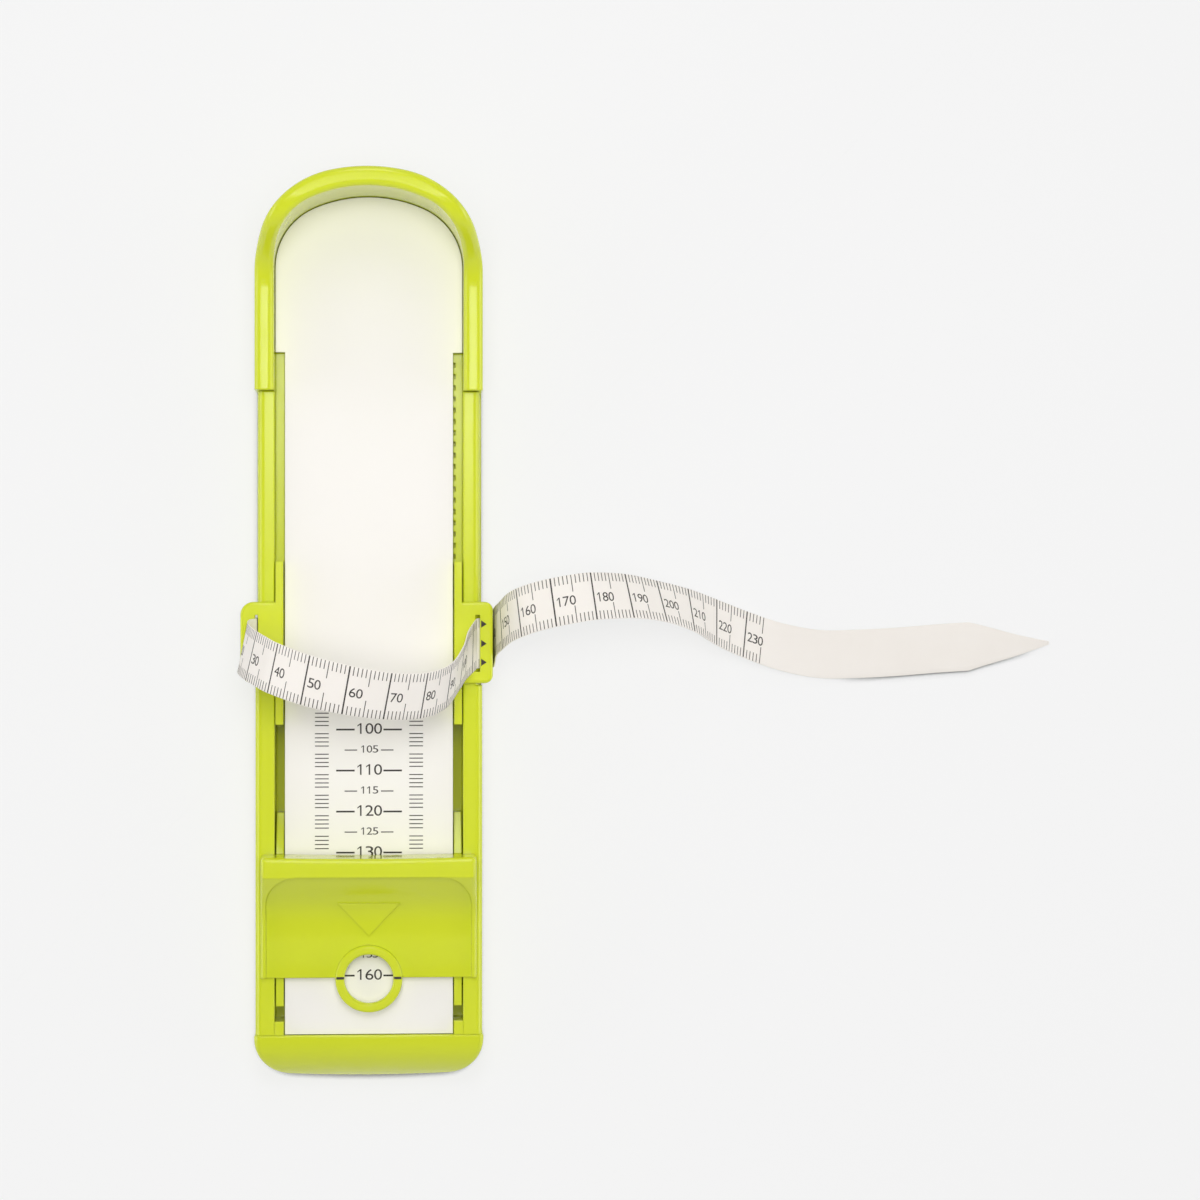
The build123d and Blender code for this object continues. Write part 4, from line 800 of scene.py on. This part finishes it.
def coated_tape(name, pale, deep):
    """Soft vinyl over a fine weave: smooth and a little waxy, the threads just telling through."""
    made, tree = new_material(name)
    place = add(tree, "ShaderNodeUVMap", uv_map="along and across").outputs[0]
    threads = add(tree, "ShaderNodeMapping", {
        "Vector": place, "Scale": (MM / THREAD, MM / THREAD, 1)})
    weave = add(tree, "ShaderNodeTexChecker", {"Vector": threads.outputs[0], "Scale": 1.0})
    cloud = add(tree, "ShaderNodeTexNoise", {
        "Vector": place, "Scale": CLOUDS_PER_MM, "Detail": 4.0})
    tone = add(tree, "ShaderNodeMixRGB", {
        "Fac": cloud.outputs["Fac"], "Color1": linear(deep), "Color2": linear(pale)})
    matt = add(tree, "ShaderNodeMapRange", {
        "Value": cloud.outputs["Fac"], "To Min": 0.42, "To Max": 0.55})
    telling = add(tree, "ShaderNodeBump", {
        "Height": weave.outputs["Fac"], "Strength": 0.15, "Distance": 0.01 * MM})
    shader = add(tree, "ShaderNodeBsdfPrincipled", {
        "Base Color": tone.outputs[0], "Roughness": matt.outputs[0],
        "Normal": telling.outputs[0], "IOR": 1.5})
    add(tree, "ShaderNodeOutputMaterial", {"Surface": shader.outputs[0]})
    return made


vinyl = coated_tape("coated measuring tape", "F5F0EA", "F1EBE4")

TENS_LINE = 0.36
FIVES_LINE = 0.20
FIVES_LENGTH = 4.2
TICK_LINE = 0.20
TICK_LENGTH = 2.15
NUMBER_TALL = 2.35
NUMBER_WIDE = {1: 1.5, 2: 3.3, 3: 4.75}
NUMBER_GAP = 0.75
NUMBER_ASIDE = -0.3
NUMBER_SLICES = 8
SCALE_MARGIN = 0.2  # between a stretch's ends and its first and last tick
TICK_MARGIN = 0.1  # between a tick and the tape's edge


def tape_scale(name, places, first_reading, last_reading):
    """The scale on one stretch of tape, printed on the face that its stations name."""
    def on_tape(x, y, z):
        far = min(max(x / MM, places[0][0]), places[-1][0])
        low, high = 0, len(places) - 1
        while high - low > 1:
            middle = (low + high) // 2
            low, high = (middle, high) if places[middle][0] <= far else (low, middle)
        share = (far - places[low][0]) / (places[high][0] - places[low][0])
        centre = places[low][1].lerp(places[high][1], share)
        across = places[low][2].lerp(places[high][2], share)
        face = places[low][3].lerp(places[high][3], share).normalized()
        surface = centre + across * (y / MM) + face * (TAPE_THICKNESS / 2)
        return surface * MM + face * (FILM_LIFT + z)

    def after(reading):
        return reading - first_reading

    start = math.ceil(first_reading + SCALE_MARGIN)
    stop = math.floor(last_reading - SCALE_MARGIN)
    edge = TAPE_WIDTH / 2 - TICK_MARGIN
    flat = [tick_row(after(start), stop - start + 1, 1, TICK_LENGTH, TICK_LINE, edge,
                     number=start, leave_out=5)]
    first_five = start + (5 - start) % 10
    if first_five <= stop:
        flat.append(tick_row(after(first_five), (stop - first_five) // 10 + 1, 10, FIVES_LENGTH,
                             FIVES_LINE, edge))
    first_ten = start + (-start) % 10
    if first_ten <= stop:
        flat.append(tick_row(after(first_ten), (stop - first_ten) // 10 + 1, 10, 2 * edge,
                             TENS_LINE, edge, both=False))
    for reading in range(first_ten, stop + 1, 10):
        text = str(reading)
        wide = NUMBER_WIDE[len(text)]
        if after(reading) + NUMBER_GAP + wide < places[-1][0]:
            flat.append(flat_number(text, NUMBER_TALL, wide, after(reading) + NUMBER_GAP,
                                    NUMBER_ASIDE, slices=NUMBER_SLICES))
    return printed(name, flat, on_tape)


READING_AT_LEFT_SLOT = 10.0
READING_AT_RIGHT_SLOT = 113.0
READING_AT_TAIL = 132.8
SCALE_END = 235.3

end_places = upright(END_ROUTE, END_RADIUS)
tape_end = tape_strip("tape_clamped_end", end_places, [TAPE_WIDTH] * len(end_places), vinyl)
stand_for(tape_end, "tape_end", "carriage")

span = RIGHT_SLOT_X - LEFT_SLOT_X
loop_points = smooth_route(LOOP_ROUTE, LOOP_STEPS)
loop_places = stations(
    [Vector((LEFT_SLOT_X + share * span, y_at(SLOT_MIDDLE + forward) / MM, SLOT_TOP + up))
     for share, forward, up in (point[:3] for point in loop_points)],
    [leaning(*point[3:]) for point in loop_points])
tape_loop = tape_strip("tape_over_instep", loop_places, [TAPE_WIDTH] * len(loop_places), vinyl)
stand_for(tape_loop, "tape_loop", "carriage")
loop_scale = tape_scale("tape_scale_over_instep", loop_places, READING_AT_LEFT_SLOT,
                        READING_AT_RIGHT_SLOT)
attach(loop_scale, "carriage")
for piece in (tape_loop, loop_scale):
    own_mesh(piece)

turn_places = upright(TURN_ROUTE, TURN_RADIUS)
tape_turn = tape_strip("tape_under_lip", turn_places, [TAPE_WIDTH] * len(turn_places), vinyl)
stand_for(tape_turn, "tape_turn", "carriage")
turn_scale = tape_scale("tape_scale_under_lip", turn_places, READING_AT_RIGHT_SLOT,
                        READING_AT_TAIL)
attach(turn_scale, "carriage")

tail_points = smooth_route(TAIL_ROUTE, TAIL_STEPS)
tail_centres = [Vector((TAIL_X + out, y_at(SLOT_MIDDLE + forward) / MM, up))
                for out, forward, up in (point[:3] for point in tail_points)]
tail_places = stations(tail_centres, [leaning(*point[3:]) for point in tail_points])
tail_widths = []
for centre in tail_centres:
    share = min(1, (tail_centres[-1] - centre).length / TAPER_LENGTH)
    tail_widths.append(TIP_WIDTH + (TAPE_WIDTH - TIP_WIDTH) * share)
tape_tail = tape_strip("tape_free_end", tail_places, tail_widths, vinyl)
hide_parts("tape_tail")
tail_scale = tape_scale("tape_scale_free_end", tail_places, READING_AT_TAIL, SCALE_END)
for piece in (tape_tail, tail_scale):
    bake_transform(piece)

# ---------------------------------------------------------------- toe bar
# A lime ABS hood that slides up to the toes, with its reading ring moulded on and its two arms in
# the channels. A bridge under the plate keeps it down and a bow spring holds it where it is set.

for node, name in (("toe_hood", "toe_bar"), ("toe_bridge", "toe_bar_bridge")):
    stand_for(eased_copy(node, name, lime_abs), node, "toe_bar")
stand_for(eased_copy("toe_screws", "toe_bar_screws", zinc, edge=0.06),
          "toe_screws", "toe_bar")
stand_for(eased_copy("toe_brake_spring", "brake_bow", spring_steel, edge=0.04),
          "toe_brake_spring", "toe_bar")

ABOVE_HOOD = 0.1
hood_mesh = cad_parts["toe_hood"].data
hood_face = BVHTree.FromPolygons([v.co for v in hood_mesh.vertices],
                                 [tuple(p.vertices) for p in hood_mesh.polygons])


def settled(x, y, z):
    """The place on the toe bar's surface that a flat print settles to from above."""
    hit = hood_face.ray_cast(Vector((x, y, ABOVE_HOOD)), Vector((0, 0, -1)))[0]
    return Vector((x, y, hit.z + z))


# the two black strokes on the ring, level with the length that is read
STROKE_Y = -84.8
STROKE_TALL = 0.62
STROKE_START = 6.0
STROKE_LONG = 2.05
STROKE_SLICES = 10
strokes = []
for low in (-STROKE_START - STROKE_LONG, STROKE_START):
    near, far = STROKE_Y - STROKE_TALL / 2, STROKE_Y + STROKE_TALL / 2
    stroke = prism([(low, near), (low + STROKE_LONG, near), (low + STROKE_LONG, far), (low, far)],
                   -SUNK, INK)
    work = bmesh.new()
    work.from_mesh(stroke)
    cut_across(work, low, STROKE_LONG, STROKE_SLICES)
    work.to_mesh(stroke)
    work.free()
    strokes.append(stroke)
ring_strokes = printed("ring_strokes", strokes, settled)
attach(ring_strokes, "toe_bar")
